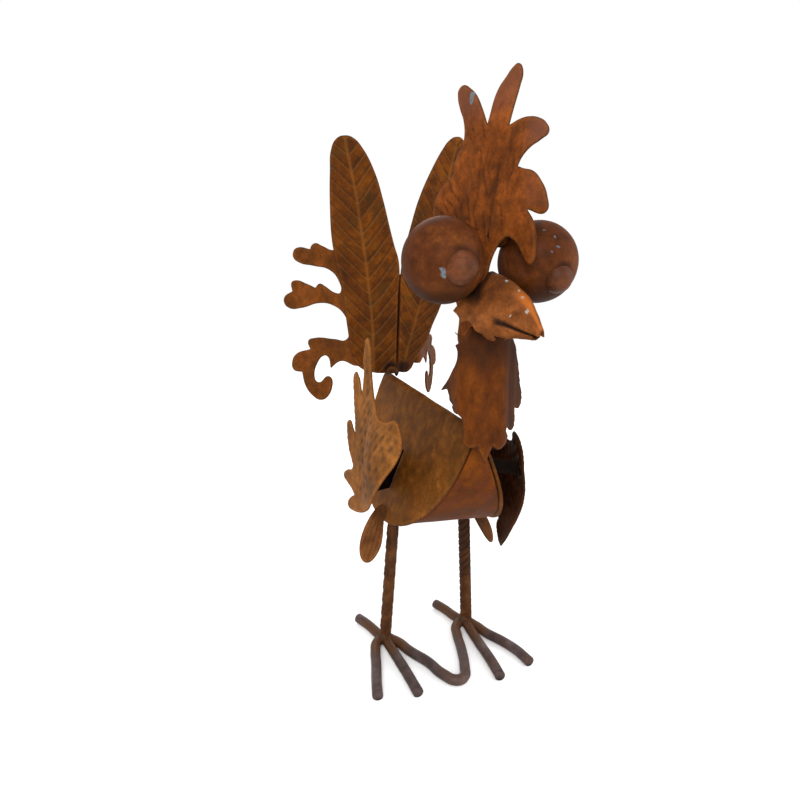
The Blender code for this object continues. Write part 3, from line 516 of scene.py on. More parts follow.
addPiece("bodyShell", cutSheet(discOutline(), body, foldedBody, bodyRelief, {"burnAndShadeRule": bodyBurn}),
         "bodySteel", "body_shell")
bandStart, bandEnd = (angle * body["radius"] for angle in band["ends"])
bandOutline = [
    (bandStart, 0.0, 1), (bandEnd, 0.0, 1), (bandEnd, band["width"], 1), (bandStart, band["width"], 1)]
addPiece("bellyBand", cutSheet(bandOutline, band, bandPlace, bandRelief), "bellySteel", "belly_band")
print("body made")


# Legs: a square bar twisted along its length

leg = {"ankleX": 18.1, "topX": 15.1, "topY": -1.7, "bar": {-1.0: 4.5, 1.0: 4.4}, "turns": {-1.0: 2.2, 1.0: 4.0},
       "edge": {-1.0: 1.55, 1.0: 1.1}, "bands": {-1.0: 0.2, 1.0: 0.75}, "bottom": 2.6, "topGap": 0.4,
       "burnRadius": 3.0, "burnAndShade": 0.6, "bandDepth": 0.28, "bandFade": (18.0, 28.0), "rows": 160, "around": 36}


def legTree():
    tree = bpy.data.node_groups.new("twistedBar", "GeometryNodeTree")
    face = tree.interface
    face.new_socket("Geometry", in_out="OUTPUT", socket_type="NodeSocketGeometry")
    for name, kind in (("Bottom", "Vector"), ("Top", "Vector"), ("Bar", "Float"), ("Turns", "Float"),
                       ("Edge", "Float"), ("Finish", "Material")):
        face.new_socket(name, in_out="INPUT", socket_type="NodeSocket" + kind)
    given = addNode(tree, "NodeGroupInput").node.outputs
    line = addNode(tree, "GeometryNodeCurvePrimitiveLine", {"Start": given["Bottom"], "End": given["Top"]})
    path = addNode(tree, "GeometryNodeResampleCurve", {"Curve": line, "Count": leg["rows"]})
    angle = addNode(tree, "GeometryNodeSplineParameter")
    for factor in (given["Turns"], 2.0 * math.pi):
        angle = addNode(tree, "ShaderNodeMath", {0: angle, 1: factor}, operation="MULTIPLY")
    tilted = addNode(tree, "GeometryNodeSetCurveTilt", {"Curve": path, "Tilt": angle})
    square = addNode(tree, "GeometryNodeCurvePrimitiveQuadrilateral", {
        "Width": given["Bar"], "Height": given["Bar"]})
    rounded = addNode(tree, "GeometryNodeFilletCurve", {"Curve": square, "Radius": given["Edge"]})
    profile = addNode(tree, "GeometryNodeResampleCurve", {"Curve": rounded, "Count": leg["around"]})
    bar = addNode(tree, "GeometryNodeCurveToMesh", {
        "Curve": tilted, "Profile Curve": profile, "Fill Caps": True})
    real = addNode(tree, "GeometryNodeRealizeInstances", {"Geometry": bar})
    coated = addNode(tree, "GeometryNodeSetMaterial", {"Geometry": real, "Material": given["Finish"]})
    addNode(tree, "NodeGroupOutput", {"Geometry": coated})
    return tree


def fromTree(tree, values):
    thing = linked("fromTree", bpy.data.meshes.new("fromTree"))
    modifier = thing.modifiers.new("build", "NODES")
    modifier.node_group = tree
    for item in tree.interface.items_tree:
        if item.in_out == "INPUT":
            modifier[item.identifier] = values[item.name]
    return evaluated(thing)


def mergeDoubles(work):
    bmesh.ops.remove_doubles(work, verts=work.verts, dist=0.0005)


def darkenFlats(mesh, bottom, top, flat, strength):
    # Dark scale lies in the flats of the twist, most of all on the upper half
    axis = (top - bottom).normalized()
    for vertex, shade in zip(mesh.vertices, mesh.attributes["burnAndShade"].data):
        arm = vertex.co - bottom
        height = arm.dot(axis)
        hollow = 1.0 - smoothStep((arm - axis * height).length, flat, flat + leg["bandDepth"])
        upper = 0.25 + 0.75 * smoothStep(height, *leg["bandFade"])
        shade.value = max(shade.value, strength * hollow * upper)


twistedBar = legTree()
for side, name in sides.items():
    right, left = bandEnds(math.acos((body["y"] - leg["topY"]) / body["radius"]))
    belly = right.lerp(left, (side * leg["topX"] - right.x) / (left.x - right.x))
    top = Vector((side * leg["topX"], leg["topY"], belly.z - leg["topGap"]))
    bottom = Vector((side * leg["ankleX"], 0.0, leg["bottom"]))
    mesh = fromTree(twistedBar, {
        "Bottom": bottom, "Top": top, "Bar": leg["bar"][side], "Turns": leg["turns"][side],
        "Edge": leg["edge"][side], "Finish": finishes["legSteel"]})
    facesOut(mesh, mergeDoubles)
    paint(mesh, {"burnAndShade": [(top.x, top.y, belly.z, leg["burnRadius"], leg["burnAndShade"])]})
    darkenFlats(mesh, bottom, top, leg["bar"][side] / 2.0, leg["bands"][side])
    addPiece("legBar" + name.capitalize(), mesh, "legSteel", "leg_" + name)
print("legs made")


# Feet: round rod bent in a zigzag through both ankles, with a middle and a back toe on each

foot = {"radius": 1.95, "steps": 10, "around": 22, "dome": 0.75,
        "domeSteps": (0.02, 0.1, 0.25, 0.5, 0.75, 0.92)}
zigzagPlan = [
    (-32.3, -32.2), (-29.9, -23.9), (-26.9, -14.8), (-24.5, -6.8), (-22.4, -2.0), (-18.6, 0.2), (-15.0, -3.0),
    (-11.9, -12.0), (-8.3, -20.3), (-6.0, -29.1), (-2.7, -33.7), (0.6, -32.7), (2.9, -28.6), (7.3, -16.9),
    (9.8, -8.4), (12.4, -2.4), (17.0, 0.0), (20.0, -5.0), (21.5, -11.3), (24.5, -18.4), (26.7, -26.0),
    (27.4, -34.8)]
toePlans = {
    "toe_middle_right": [(-18.2, -0.6), (-18.1, -12.8), (-18.1, -23.4), (-18.4, -36.2)],
    "toe_back_right": [(-18.9, 0.6), (-19.8, 4.4), (-21.4, 11.5), (-24.0, 18.8)],
    "toe_middle_left": [(17.4, -0.6), (15.7, -14.0), (14.1, -29.2), (12.6, -38.2)],
    "toe_back_left": [(16.4, 0.2), (15.0, 4.4), (13.4, 11.5), (11.4, 17.4)]}


def smoothPath(plan):
    return [vertex.co.copy() for vertex in bezierMesh(plan, foot["radius"], resolution=foot["steps"]).vertices]


def roundRod(path, radii, around, roundEnds=(False, False)):
    # Rings square to the path, with domed ends where it shows
    rows = []
    for index, (centre, radius) in enumerate(zip(path, radii)):
        ahead = (path[min(index + 1, len(path) - 1)] - path[max(index - 1, 0)]).normalized()
        rows.append((centre, radius, ahead))
    domes = []
    for (centre, radius, ahead), outward, domed in zip((rows[0], rows[-1]), (-1.0, 1.0), roundEnds):
        domes.append([(centre + ahead * (outward * radius * foot["dome"] * (1.0 - share)),
                       radius * math.sin(math.acos(1.0 - share)), ahead)
                      for share in foot["domeSteps"]] if domed else [])
    work = bmesh.new()
    rings = []
    for centre, radius, ahead in domes[0] + rows + domes[1][::-1]:
        side = ahead.cross(Vector((0.0, 0.0, 1.0))).normalized()
        up = side.cross(ahead)
        angles = [2.0 * math.pi * step / around for step in range(around)]
        rings.append([work.verts.new(centre + side * radius * math.cos(angle) + up * radius * math.sin(angle))
                      for angle in angles])
    for lower, upper in zip(rings, rings[1:]):
        for index in range(around):
            after = (index + 1) % around
            work.faces.new((lower[index], lower[after], upper[after], upper[index]))
    work.faces.new(rings[0])
    work.faces.new(rings[-1])
    bmesh.ops.recalc_face_normals(work, faces=work.faces)
    mesh = bpy.data.meshes.new("rod")
    work.to_mesh(mesh)
    work.free()
    return mesh


brownAnkles = [(-18.4, 0.0, 2.0, 17.0, 0.9), (17.2, 0.0, 2.0, 17.0, 0.9), (-2.0, -33.0, 2.0, 9.0, 0.25)]
toeMarks = {"tintAndLight": brownAnkles, "burnAndShade": [(-18.4, 0.0, 1.0, 4.4, 0.5), (17.0, 0.0, 1.0, 4.4, 0.5)]}


def footRod(plan, roundEnds):
    path = smoothPath(plan)
    cut = foot["radius"] * foot["dome"]
    if roundEnds[0]:
        path[0] = path[0] + (path[1] - path[0]).normalized() * cut
    if roundEnds[1]:
        path[-1] = path[-1] + (path[-2] - path[-1]).normalized() * cut
    radii = [foot["radius"] * (1.0 + 0.02 * lump(point.x / 4.0, point.y / 4.0, 0.0)) - 0.04 for point in path]
    mesh = roundRod(path, radii, foot["around"], roundEnds)
    paint(mesh, toeMarks)
    return mesh


addPiece("toeZigzag", footRod(zigzagPlan, (True, True)), "toeSteel", "toe_zigzag")
for node, plan in toePlans.items():
    words = node.split("_")
    addPiece("toeRod" + words[1].capitalize() + words[2].capitalize(), footRod(plan, (False, True)), "toeSteel",
             node)

# post is the rise, lean and radius of the weld that climbs from the rods to the leg bar
ankle = {"centre": {-1.0: (-18.5, 0.0), 1.0: (17.0, 0.0)}, "reach": 5.0, "swell": 0.3, "taper": 0.75,
         "around": 16, "voxel": 0.24, "smooth": 0.6, "passes": 7, "lowest": 0.02, "postFoot": 1.4,
         "post": ((0.0, 0.0, 2.9), (1.6, 0.1, 2.6), (3.4, 0.2, 2.0))}


def ankleWeld(side, plans):
    # The rods run together in a smooth fillet of weld at each ankle
    middle = Vector(ankle["centre"][side])
    parts = bmesh.new()
    for plan in plans:
        near = [point for point in smoothPath(plan) if (point.xy - middle).length < ankle["reach"]]
        radii = []
        for point in near:
            thinner = ankle["taper"] * smoothStep((point.xy - middle).length, 1.0, ankle["reach"])
            radii.append(foot["radius"] + ankle["swell"] - thinner)
        parts.from_mesh(roundRod(near, radii, ankle["around"]))
    post = Vector((*middle, ankle["postFoot"]))
    upright = [post + Vector((lean, 0.0, rise)) for rise, lean, radius in ankle["post"]]
    parts.from_mesh(roundRod(upright, [row[2] for row in ankle["post"]], ankle["around"]))
    mesh = bpy.data.meshes.new("weld")
    parts.to_mesh(mesh)
    parts.free()
    thing = linked("weld", mesh)
    remesh = thing.modifiers.new("skin", "REMESH")
    remesh.mode = "VOXEL"
    remesh.voxel_size = ankle["voxel"]
    smooth = thing.modifiers.new("fillet", "SMOOTH")
    smooth.factor = ankle["smooth"]
    smooth.iterations = ankle["passes"]
    made = evaluated(thing)
    for vertex in made.vertices:
        vertex.co.z = max(vertex.co.z, ankle["lowest"])
    paint(made, toeMarks)
    return made


for side, name in sides.items():
    plans = [zigzagPlan, toePlans["toe_middle_" + name], toePlans["toe_back_" + name]]
    addPiece("ankleWeld" + name.capitalize(), ankleWeld(side, plans), "toeSteel")
print("feet made")


# Head

head = {"y": -45.0, "height": 148.0, "combHeight": 78.4, "combTurn": math.radians(22.0),
        "beakTurn": math.radians(17.0), "eyeX": 15.9, "eyeHeight": 147.8, "eyeRadius": 12.45,
        "eyeSquash": 0.967, "pupil": {-1.0: 4.9, 1.0: 4.5}}


def headPoint(turn, forward, sideways, up):
    ahead = Vector((math.sin(turn), -math.cos(turn), 0.0))
    right = Vector((-math.cos(turn), -math.sin(turn), 0.0))
    middle = Vector((0.0, head["y"], head["height"]))
    return middle + ahead * forward + right * sideways + Vector((0.0, 0.0, up))


comb = {"thick": 1.0, "step": 0.55, "edge": 0.6, "fan": (-3.0, -12.0), "rimWidth": 1.2, "gouge": 0.75,
        "speckMm": 1.25}
combOutline = [
    (-1.2, -3.6), (-0.4, -0.4), (1.5, 3.3), (3.6, 5.7), (5.3, 6.5), (7.5, 5.6), (10.0, 2.7), (11.5, 0.4),
    (13.4, -1.5), (14.6, -0.7), (15.3, 2.5), (14.2, 10.0), (11.9, 13.5, 1), (18.1, 12.5), (18.1, 16.7),
    (16.0, 20.8), (13.3, 23.6), (10.0, 24.7), (8.1, 25.5, 1), (9.2, 27.4), (12.0, 29.8), (15.5, 31.3),
    (17.8, 32.8), (16.8, 35.3), (14.6, 36.9), (12.0, 37.7), (9.1, 37.8), (4.7, 36.7, 1), (5.9, 40.4),
    (8.0, 46.3), (8.8, 49.4), (7.4, 52.0), (5.8, 51.6), (3.2, 49.4), (0.8, 47.1), (-0.8, 44.3), (-2.1, 40.6),
    (-3.0, 38.2, 1), (-5.1, 43.1), (-7.5, 47.3), (-9.8, 49.4), (-12.1, 50.7), (-14.1, 49.8), (-14.4, 47.9),
    (-13.6, 44.7), (-11.9, 40.5), (-11.6, 36.2), (-12.4, 33.4, 1), (-15.2, 29.5), (-15.8, 25.6, 1),
    (-18.6, 24.0), (-21.3, 21.9), (-23.4, 18.8), (-24.2, 15.2), (-23.6, 8.0), (-20.5, 0.0), (-16.0, -8.0),
    (-12.5, -16.0), (-11.5, -26.4), (-2.6, -26.4, 1), (-2.4, -18.0), (-1.4, -9.0)]


def combPlace(forward, up):
    return headPoint(head["combTurn"], forward, 0.0, up)


def combStrand(u, v):
    # Gouges follow the locks, which fan out from behind the brow; 1 in a gouge, 0 on a strand
    du = u - comb["fan"][0]
    dv = v - comb["fan"][1]
    angle = math.atan2(dv, du) + 0.10 * lump(u / 9.0, v / 9.0, 4.0)
    reach = math.hypot(du, dv)
    coarse = abs(lump(angle * 9.0, reach / 30.0, 1.0))
    fine = abs(lump(angle * 21.0, reach / 14.0, 8.0))
    return max(0.0, 1.0 - coarse / 0.09) * 0.9, max(0.0, 1.0 - fine / 0.12) * 0.7


def combMask(u, v):
    # Smooth at the finger ends, on the hook lobe and on the front lobe
    mask = smoothStep(v, 3.0, 9.0) * (1.0 - smoothStep(v, 37.0, 47.0))
    mask *= 1.0 - smoothStep(u, 7.0, 13.0)
    mask *= 1.0 - 0.8 * smoothStep(u, 3.0, 6.0) * (1.0 - smoothStep(v, 14.0, 22.0))
    return mask


def combRelief(u, v, away):
    coarse, fine = combStrand(u, v)
    mask = combMask(u, v) * smoothStep(away, 0.2, 1.6)
    swell = 0.35 * lump(u / 6.0, v / 16.0, 3.0) + 0.12 * lump(u / 2.4, v / 7.0, 6.0)
    finger = 0.25 * smoothStep(away, 0.5, 3.5) - 0.1
    return comb["gouge"] * mask * (0.45 * fine + 0.9 * coarse) * -1.0 + mask * swell + finger


def combBurn(u, v, away):
    coarse, fine = combStrand(u, v)
    return combMask(u, v) * min(0.5, 0.36 * coarse + 0.2 * fine)


def combTint(u, v, away):
    lobe = smoothStep(u, 9.0, 13.0) * smoothStep(v, 12.0, 16.0) * (1.0 - smoothStep(v, 24.0, 28.0))
    tip = smoothStep(u, 8.0, 16.0) * smoothStep(v, 27.0, 31.0)
    crown = smoothStep(v, 36.0, 46.0)
    return 0.75 * max(0.35 * lobe, tip, 0.75 * crown)


combSpots = [(*headPoint(head["combTurn"], -8.6, 0.0, up), comb["speckMm"], 1.0) for up in (45.4, 46.4, 47.4)]
combMarks = {"burnAndShadeRule": combBurn, "tintAndLightRule": combTint, "worn": combSpots}
addPiece("comb", cutSheet(sized(combOutline, head["combHeight"]), comb, combPlace, combRelief, combMarks),
         "combSteel", "comb_sheet")
print("comb made")


def eyeCentre(side):
    return Vector((side * head["eyeX"], head["y"], head["eyeHeight"]))


def eyeRadii(extra):
    radius = head["eyeRadius"]
    return (radius * head["eyeSquash"] + extra, radius + extra, radius + extra)


def ballMesh(detail, place):
    # A unit ball moved point by point
    work = bmesh.new()
    bmesh.ops.create_uvsphere(work, u_segments=detail * 2, v_segments=detail, radius=1.0)
    for vertex in work.verts:
        vertex.co = place(vertex.co.normalized())
    mesh = bpy.data.meshes.new("ball")
    work.to_mesh(mesh)
    work.free()
    return mesh


def roundBall(centre, radii, seed, rough, detail=48):
    def place(point):
        scale = 1.0 + rough * lump(*(point * 2.2), seed) + rough * 0.3 * lump(*(point * 7.0), seed)
        return Vector([point[axis] * radii[axis] * scale for axis in range(3)]) + centre

    return ballMesh(detail, place)


bead = {"radius": 3.1, "length": 4.6, "rough": 0.12, "ahead": 3.2, "inset": 0.8, "burnRadius": 4.0, "burnAndShade": 0.7}


def eyeBead(side, root, seed):
    # The weld reaches from the comb sheet out into the ball
    outward = Vector((math.cos(head["combTurn"]), math.sin(head["combTurn"]), 0.0)) * side
    turned = Vector((0.0, 0.0, 1.0)).rotation_difference(outward).to_matrix()

    def place(point):
        size = bead["radius"] * (1.0 + bead["rough"] * lump(*(point * 2.5), seed))
        ahead = point.z * bead["length"] + bead["ahead"]
        return root + turned @ Vector((point.x * size, point.y * size, ahead))

    mesh = ballMesh(20, place)
    paint(mesh, {"burnAndShade": [(*root, bead["burnRadius"], bead["burnAndShade"])]})
    return mesh


eyeLook = {"sink": 0.06, "rough": 0.004, "pupilSeat": 0.85, "pupilRough": 0.012, "pupilDetail": 28,
           "below": 1.05}
eyes = {
    -1.0: {"pupil": (0.045, -0.98, -0.195), "weld": (-6.0, -1.0), "seed": 2.0,
           "worn": [(-21.0, -56.0, 144.9, 1.1, 1.0), (-20.6, -55.7, 143.4, 1.1, 1.0)]},
    1.0: {"pupil": (0.06, -0.87, -0.45), "weld": (-1.0, 7.0), "seed": 9.0,
          "worn": [(12.2, -53.1, 156.5, 0.8, 0.9), (14.5, -55.4, 154.4, 0.7, 0.9),
                   (14.8, -56.8, 151.6, 0.8, 0.9), (12.8, -56.8, 150.2, 0.6, 0.9),
                   (17.7, -55.8, 153.7, 0.6, 0.9), (14.9, -56.7, 143.8, 0.6, 0.9)]}}
for side, eye in eyes.items():
    name = sides[side]
    centre = eyeCentre(side)
    radius = head["pupil"][side]
    seat = centre + Vector(eye["pupil"]).normalized() * head["eyeRadius"] * eyeLook["pupilSeat"]
    root = headPoint(head["combTurn"], eye["weld"][0], -side * bead["inset"], eye["weld"][1])
    below = centre - Vector((0.0, 0.0, head["eyeRadius"] * eyeLook["below"]))
    mesh = roundBall(centre, eyeRadii(-eyeLook["sink"]), eye["seed"], eyeLook["rough"])
    # The spot below each ball is painted shade: its underside is painted darker and browner with the burn and
    # the tint colour
    paint(mesh, {"burnAndShade": [(*seat, radius + 1.0, 0.85), (*root, 5.0, 0.6), (*below, 12.0, 0.42)],
                 "tintAndLight": [(*below, 15.0, 0.85)], "worn": eye["worn"]})
    addPiece("eyeBall" + name.capitalize(), mesh, "eyeSteel", "eye_ball_" + name)
    dome = roundBall(seat, (radius,) * 3, eye["seed"] + 4.0, eyeLook["pupilRough"], eyeLook["pupilDetail"])
    addPiece("pupilDome" + name.capitalize(), dome, "pupilSteel", "pupil_" + name)
    addPiece("eyeWeld" + name.capitalize(), eyeBead(side, root, eye["seed"]), "weldSteel")
print("eyes made")

beak = {"thick": 0.8, "step": 0.45, "edge": 0.35, "rimWidth": 0.9, "bulge": 0.5, "speckMm": 0.85,
        "eyeClear": 0.12}
beakRidge = [
    (-8.0, -1.4), (-0.3, -3.2), (4.5, -4.8), (9.6, -7.2), (13.8, -10.2), (16.8, -13.9), (19.0, -18.2),
    (20.0, -20.9)]
beakMouth = [
    (-8.0, -13.0), (-4.2, -13.6), (0.2, -15.0), (5.4, -16.3), (10.5, -17.8), (15.0, -19.8), (20.0, -21.6)]
beakWidth = [
    (-8.0, 9.4), (-4.2, 9.0), (0.2, 8.0), (5.4, 6.6), (10.5, 4.9), (15.0, 3.0), (18.0, 1.6), (20.0, 0.6)]
beakJaw = [(-8.0, 11.4), (-1.0, 10.2), (3.0, 8.0), (7.0, 5.6), (10.5, 4.1), (15.0, 2.1), (20.0, 0.6)]
# Half of the flat pattern: forward, and round from the ridge (0) to the mouth (10) to the chin (20)
beakPattern = [
    (-0.4, 0.0, 1), (0.6, 3.2), (-2.8, 5.9), (-4.3, 9.4, 1), (-6.4, 10.8, 1), (-4.4, 11.8), (-4.2, 12.8, 1),
    (-0.2, 12.3), (0.4, 13.6), (2.2, 14.8, 1), (2.8, 17.0), (4.0, 18.2), (5.6, 15.8, 1), (7.4, 17.6),
    (8.6, 19.2, 1), (17.4, 19.2, 1), (17.8, 11.2, 1), (13.2, 10.4, 1), (9.6, 10.22, 1), (13.2, 10.15, 1),
    (19.8, 9.7, 1), (19.9, 0.0, 1)]


def smoothTable(table, value):
    # Rounds the joints of a table by averaging round the value
    return sum(lookUp(table, value + offset) for offset in (-1.5, -0.75, 0.0, 0.75, 1.5)) / 5.0


def beakPlace(forward, around):
    side = 1.0 if around > 0.0 else -1.0
    reach = abs(around)
    width = smoothTable(beakWidth, forward)
    mouth = smoothTable(beakMouth, forward)
    if reach < 10.0:
        share = reach / 10.0
        ridge = smoothTable(beakRidge, forward)
        sideways = width * (share ** 0.8 + beak["bulge"] * share * (1.0 - share))
        up = ridge + (mouth - ridge) * share ** 1.35
    else:
        angle = (reach - 10.0) / 10.0 * math.pi / 2.0
        sideways = width * math.cos(angle)
        up = mouth - smoothTable(beakJaw, forward) * math.sin(angle)
    return headPoint(head["beakTurn"], forward, side * sideways, up)


def beakRelief(u, v, away):
    dent = 0.22 * lump(u / 3.2, v / 3.2, 3.0) + 0.1 * lump(u / 1.3, v / 1.3, 5.0)
    return dent * smoothStep(away, 0.0, 1.2)


def beakShade(u, v, away):
    # Painted shade at the back of the beak, where it meets the eyes, and along the mouth slit
    back = 1.0 - smoothStep(u + 1.2 * lump(u / 2.0, v / 2.0, 2.0), 0.5, 4.0)
    back *= 1.0 - 0.85 * smoothStep(abs(v), 6.5, 9.5)
    mouth = 0.95 * (1.0 - smoothStep(abs(abs(v) - 10.4), 0.5, 1.2)) * smoothStep(u, 6.0, 8.5)
    return max(0.92 * back, mouth)


def beakHighlight(u, v, away):
    # Painted highlight: brighter on the right of the ridge, towards the tip
    return 0.6 * (1.0 - smoothStep(abs(v - 1.6), 0.4, 2.4)) * smoothStep(u, 10.0, 14.0)


beakWhole = beakPattern + scaled(beakPattern[-2:0:-1], 1.0, -1.0)
beakSpots = [(*beakPlace(forward, around), beak["speckMm"], 1.0) for forward, around in (
    (6.8, 0.7), (11.4, 0.8), (13.2, 1.6), (15.6, 3.6), (11.6, 8.0))]
beakMarks = {"burnAndShadeRule": beakShade, "tintAndLightRule": beakHighlight, "worn": beakSpots}
beakMesh = cutSheet(beakWhole, beak, beakPlace, beakRelief, beakMarks)
for side in sides:
    beakMesh = cutAway(beakMesh, roundBall(eyeCentre(side), eyeRadii(beak["eyeClear"]), 0.0, 0.0, 32))
addPiece("beakSheet", beakMesh, "beakSteel", "beak")
print("beak made")


# Neck

hackle = {"thick": 1.0, "step": 0.7, "y": -44.0, "x": -1.0, "half": 7.0, "fold": 3.6,
          "flank": {-1.0: math.radians(90.0), 1.0: math.radians(35.0)}, "tuck": 7.4, "tuckLow": 101.0,
          "tuckHigh": 107.5, "tuckReach": 18.5}
hackleOutline = [
    (-5.0, 128.6, 1), (-7.2, 125.8), (-11.8, 126.6, 1), (-8.5, 124.6), (-11.2, 122.6, 1), (-9.6, 120.8),
    (-14.0, 113.5), (-21.3, 107.0, 1), (-15.6, 107.2), (-18.0, 104.4), (-24.0, 101.2), (-30.4, 99.3, 1),
    (-24.0, 98.9), (-14.0, 100.3), (-7.6, 100.9), (-6.8, 97.5), (-6.2, 91.6), (-4.2, 90.9), (-1.8, 91.0, 1),
    (0.9, 85.2, 1), (3.8, 90.6, 1), (5.4, 89.4), (7.6, 89.8), (11.0, 92.4), (9.9, 95.6), (13.6, 94.2),
    (15.6, 95.0), (15.8, 101.6, 1), (19.6, 100.8), (21.4, 103.2), (19.6, 109.0), (17.0, 117.0), (12.6, 124.4),
    (5.0, 128.6, 1)]


def foldRound(start, side, past, fold, turn):
    # Goes past mm on from start, along a sheet that turns over its first fold mm and then runs straight
    point = start.copy()
    steps = 6
    for index in range(steps):
        angle = turn * min(past / fold, 1.0) * (index + 0.5) / steps
        point += Vector((side * math.cos(angle), math.sin(angle), 0.0)) * (min(past, fold) / steps)
    return point + Vector((side * math.cos(turn), math.sin(turn), 0.0)) * max(past - fold, 0.0)


def hacklePlace(across, up):
    side = 1.0 if across > 0.0 else -1.0
    reach = abs(across)
    flat = min(reach, hackle["half"] - hackle["fold"] / 2.0)
    start = Vector((hackle["x"] + side * flat, hackle["y"], up))
    point = foldRound(start, side, reach - flat, hackle["fold"], hackle["flank"][side])
    if side < 0.0:
        # The right flank is tucked in at its foot
        tuck = hackle["tuck"] * smoothStep((hackle["tuckHigh"] - up) / (hackle["tuckHigh"] - hackle["tuckLow"]))
        point.x += tuck * max(reach - flat - hackle["fold"], 0.0) / hackle["tuckReach"]
    return point


def hackleRelief(u, v, away):
    folds = 0.3 * lump(u / 3.1, v / 26.0, 2.0) + 0.1 * lump(u / 1.2, v / 11.0, 5.0)
    return folds * smoothStep(away, 0.2, 2.0)


def hackleShade(u, v, away):
    # Painted shade under the beak and on both flanks, and darker in the hollows of the folds
    under = 0.55 * smoothStep(v, 110.0, 122.0)
    flanks = max(0.6 * smoothStep(u, 8.0, 11.0), 0.5 * smoothStep(-u, 8.0, 20.0))
    return 0.15 * max(0.0, -lump(u / 3.1, v / 26.0, 2.0)) + max(under, flanks)


addPiece("hackle", cutSheet(hackleOutline, hackle, hacklePlace, hackleRelief, {"burnAndShadeRule": hackleShade}),
         "hackleSteel", "neck_hackle")
print("neck made")


# Tail

feather = {"thick": 1.0, "step": 0.5, "edge": 0.5, "rimWidth": 1.2, "x": 2.5, "y": 41.0, "height": 101.0,
           "lean": math.radians(5.0), "sweep": math.radians(9.0), "pitch": 6.0, "rise": math.radians(46.0),
           "panel": 0.55, "line": 0.42, "rib": 0.5, "barbShadow": 0.5, "barbHighlight": 0.42}
featherRightEdge = [
    (0.4, 1.9, 1), (9.8, 1.9), (17.6, 5.4), (20.0, 10.1), (21.9, 21.0), (24.5, 37.8), (27.0, 49.2),
    (28.7, 58.0), (29.5, 71.5), (29.5, 84.7), (29.1, 92.1), (27.0, 96.4), (23.6, 97.7), (20.4, 97.0),
    (16.6, 93.4), (11.7, 85.0), (7.8, 74.0), (4.5, 62.3), (2.7, 56.3), (0.5, 49.4), (0.4, 33.5), (0.4, 16.2)]
featherLeftEdge = [
    (0.4, 1.9, 1), (6.0, 1.9), (10.0, 8.2), (14.4, 14.1), (17.7, 22.2), (21.5, 30.1), (25.6, 44.0),
    (29.0, 58.0), (31.0, 72.0), (31.8, 86.0), (31.2, 95.0), (28.8, 100.4), (25.4, 101.1), (22.0, 99.3),
    (18.8, 95.4), (13.6, 86.6), (9.0, 77.2), (4.9, 64.6), (2.1, 54.4), (0.6, 46.0), (0.4, 30.0), (0.4, 14.0)]
featherRightRib = [
    (1.9, 10.4), (18.6, 11.0), (33.6, 12.6), (48.1, 14.5), (62.1, 16.8), (73.7, 18.6), (83.1, 20.8),
    (97.7, 24.0)]
featherLeftRib = [
    (1.9, 2.8), (12.5, 4.6), (21.6, 7.4), (31.7, 10.4), (48.0, 13.6), (62.0, 17.0), (76.0, 20.6), (101.2, 25.6)]


def featherSheet(side, edge, rib):
    outward = Vector((side * math.cos(feather["sweep"]), math.sin(feather["sweep"]), 0.0))
    upward = Vector((0.0, -math.sin(feather["lean"]), math.cos(feather["lean"])))
    facing = outward.cross(upward)
    front = 1.0 if facing.y < 0.0 else -1.0

    def place(out, up):
        return Vector((feather["x"], feather["y"], feather["height"])) + outward * out + upward * up

    def barb(u, v):
        off = u - lookUp(rib, v)
        bend = 0.92 + 0.011 * abs(off)
        drop = v - abs(off) * math.tan(feather["rise"]) * bend + 0.35 * lump(u / 7.0, v / 7.0, side * 4.0)
        number = math.floor(drop / feather["pitch"])
        return drop / feather["pitch"] - number, off, lump(number * 1.7, 3.0 if off > 0.0 else 8.0, side)

    def relief(u, v, away):
        # Each barb is a flat panel that steps down to the next, with a thin raised line along the step
        phase, off, tone = barb(u, v)
        panel = feather["panel"] * (phase - 0.5)
        line = feather["line"] * math.exp(-((min(phase, 1.0 - phase)) / 0.055) ** 2)
        stem = feather["rib"] * math.exp(-(off / 0.75) ** 2)
        fade = smoothStep(away, 0.3, 1.5)
        wave = 0.2 * lump(u / 12.0, v / 12.0, side)
        return front * (fade * ((panel + line) * smoothStep(abs(off), 0.0, 0.9) + stem) + wave)

    def burnAndShade(u, v, away):
        # The crease below each barb line is a painted shadow
        phase, off, tone = barb(u, v)
        panel = 0.3 * smoothStep(tone, 0.05, 0.3) * smoothStep(away, 0.5, 2.5)
        barbShadow = feather["barbShadow"] * math.exp(-((phase - 0.12) / 0.09) ** 2) * smoothStep(abs(off), 0.4, 1.2)
        hole = 0.9 * (1.0 - smoothStep(math.hypot(u - 3.0, v - 4.0), 1.6, 4.2))
        return max(barbShadow, hole, panel)

    def tintAndLight(u, v, away):
        # Painted highlight along the raised line of each barb and along the rib
        phase, off, tone = barb(u, v)
        line = math.exp(-((min(phase, 1.0 - phase)) / 0.06) ** 2)
        return feather["barbHighlight"] * max(line, math.exp(-(off / 0.6) ** 2)) * smoothStep(away, 0.2, 1.0)

    return cutSheet(edge, feather, place, relief, {"burnAndShadeRule": burnAndShade, "tintAndLightRule": tintAndLight})


for side, edge, rib in ((-1.0, featherRightEdge, featherRightRib), (1.0, featherLeftEdge, featherLeftRib)):
    addPiece("tailFeather" + sides[side].capitalize(), featherSheet(side, edge, rib), "featherSteel",
             "tail_feather_" + sides[side])
print("feathers made")

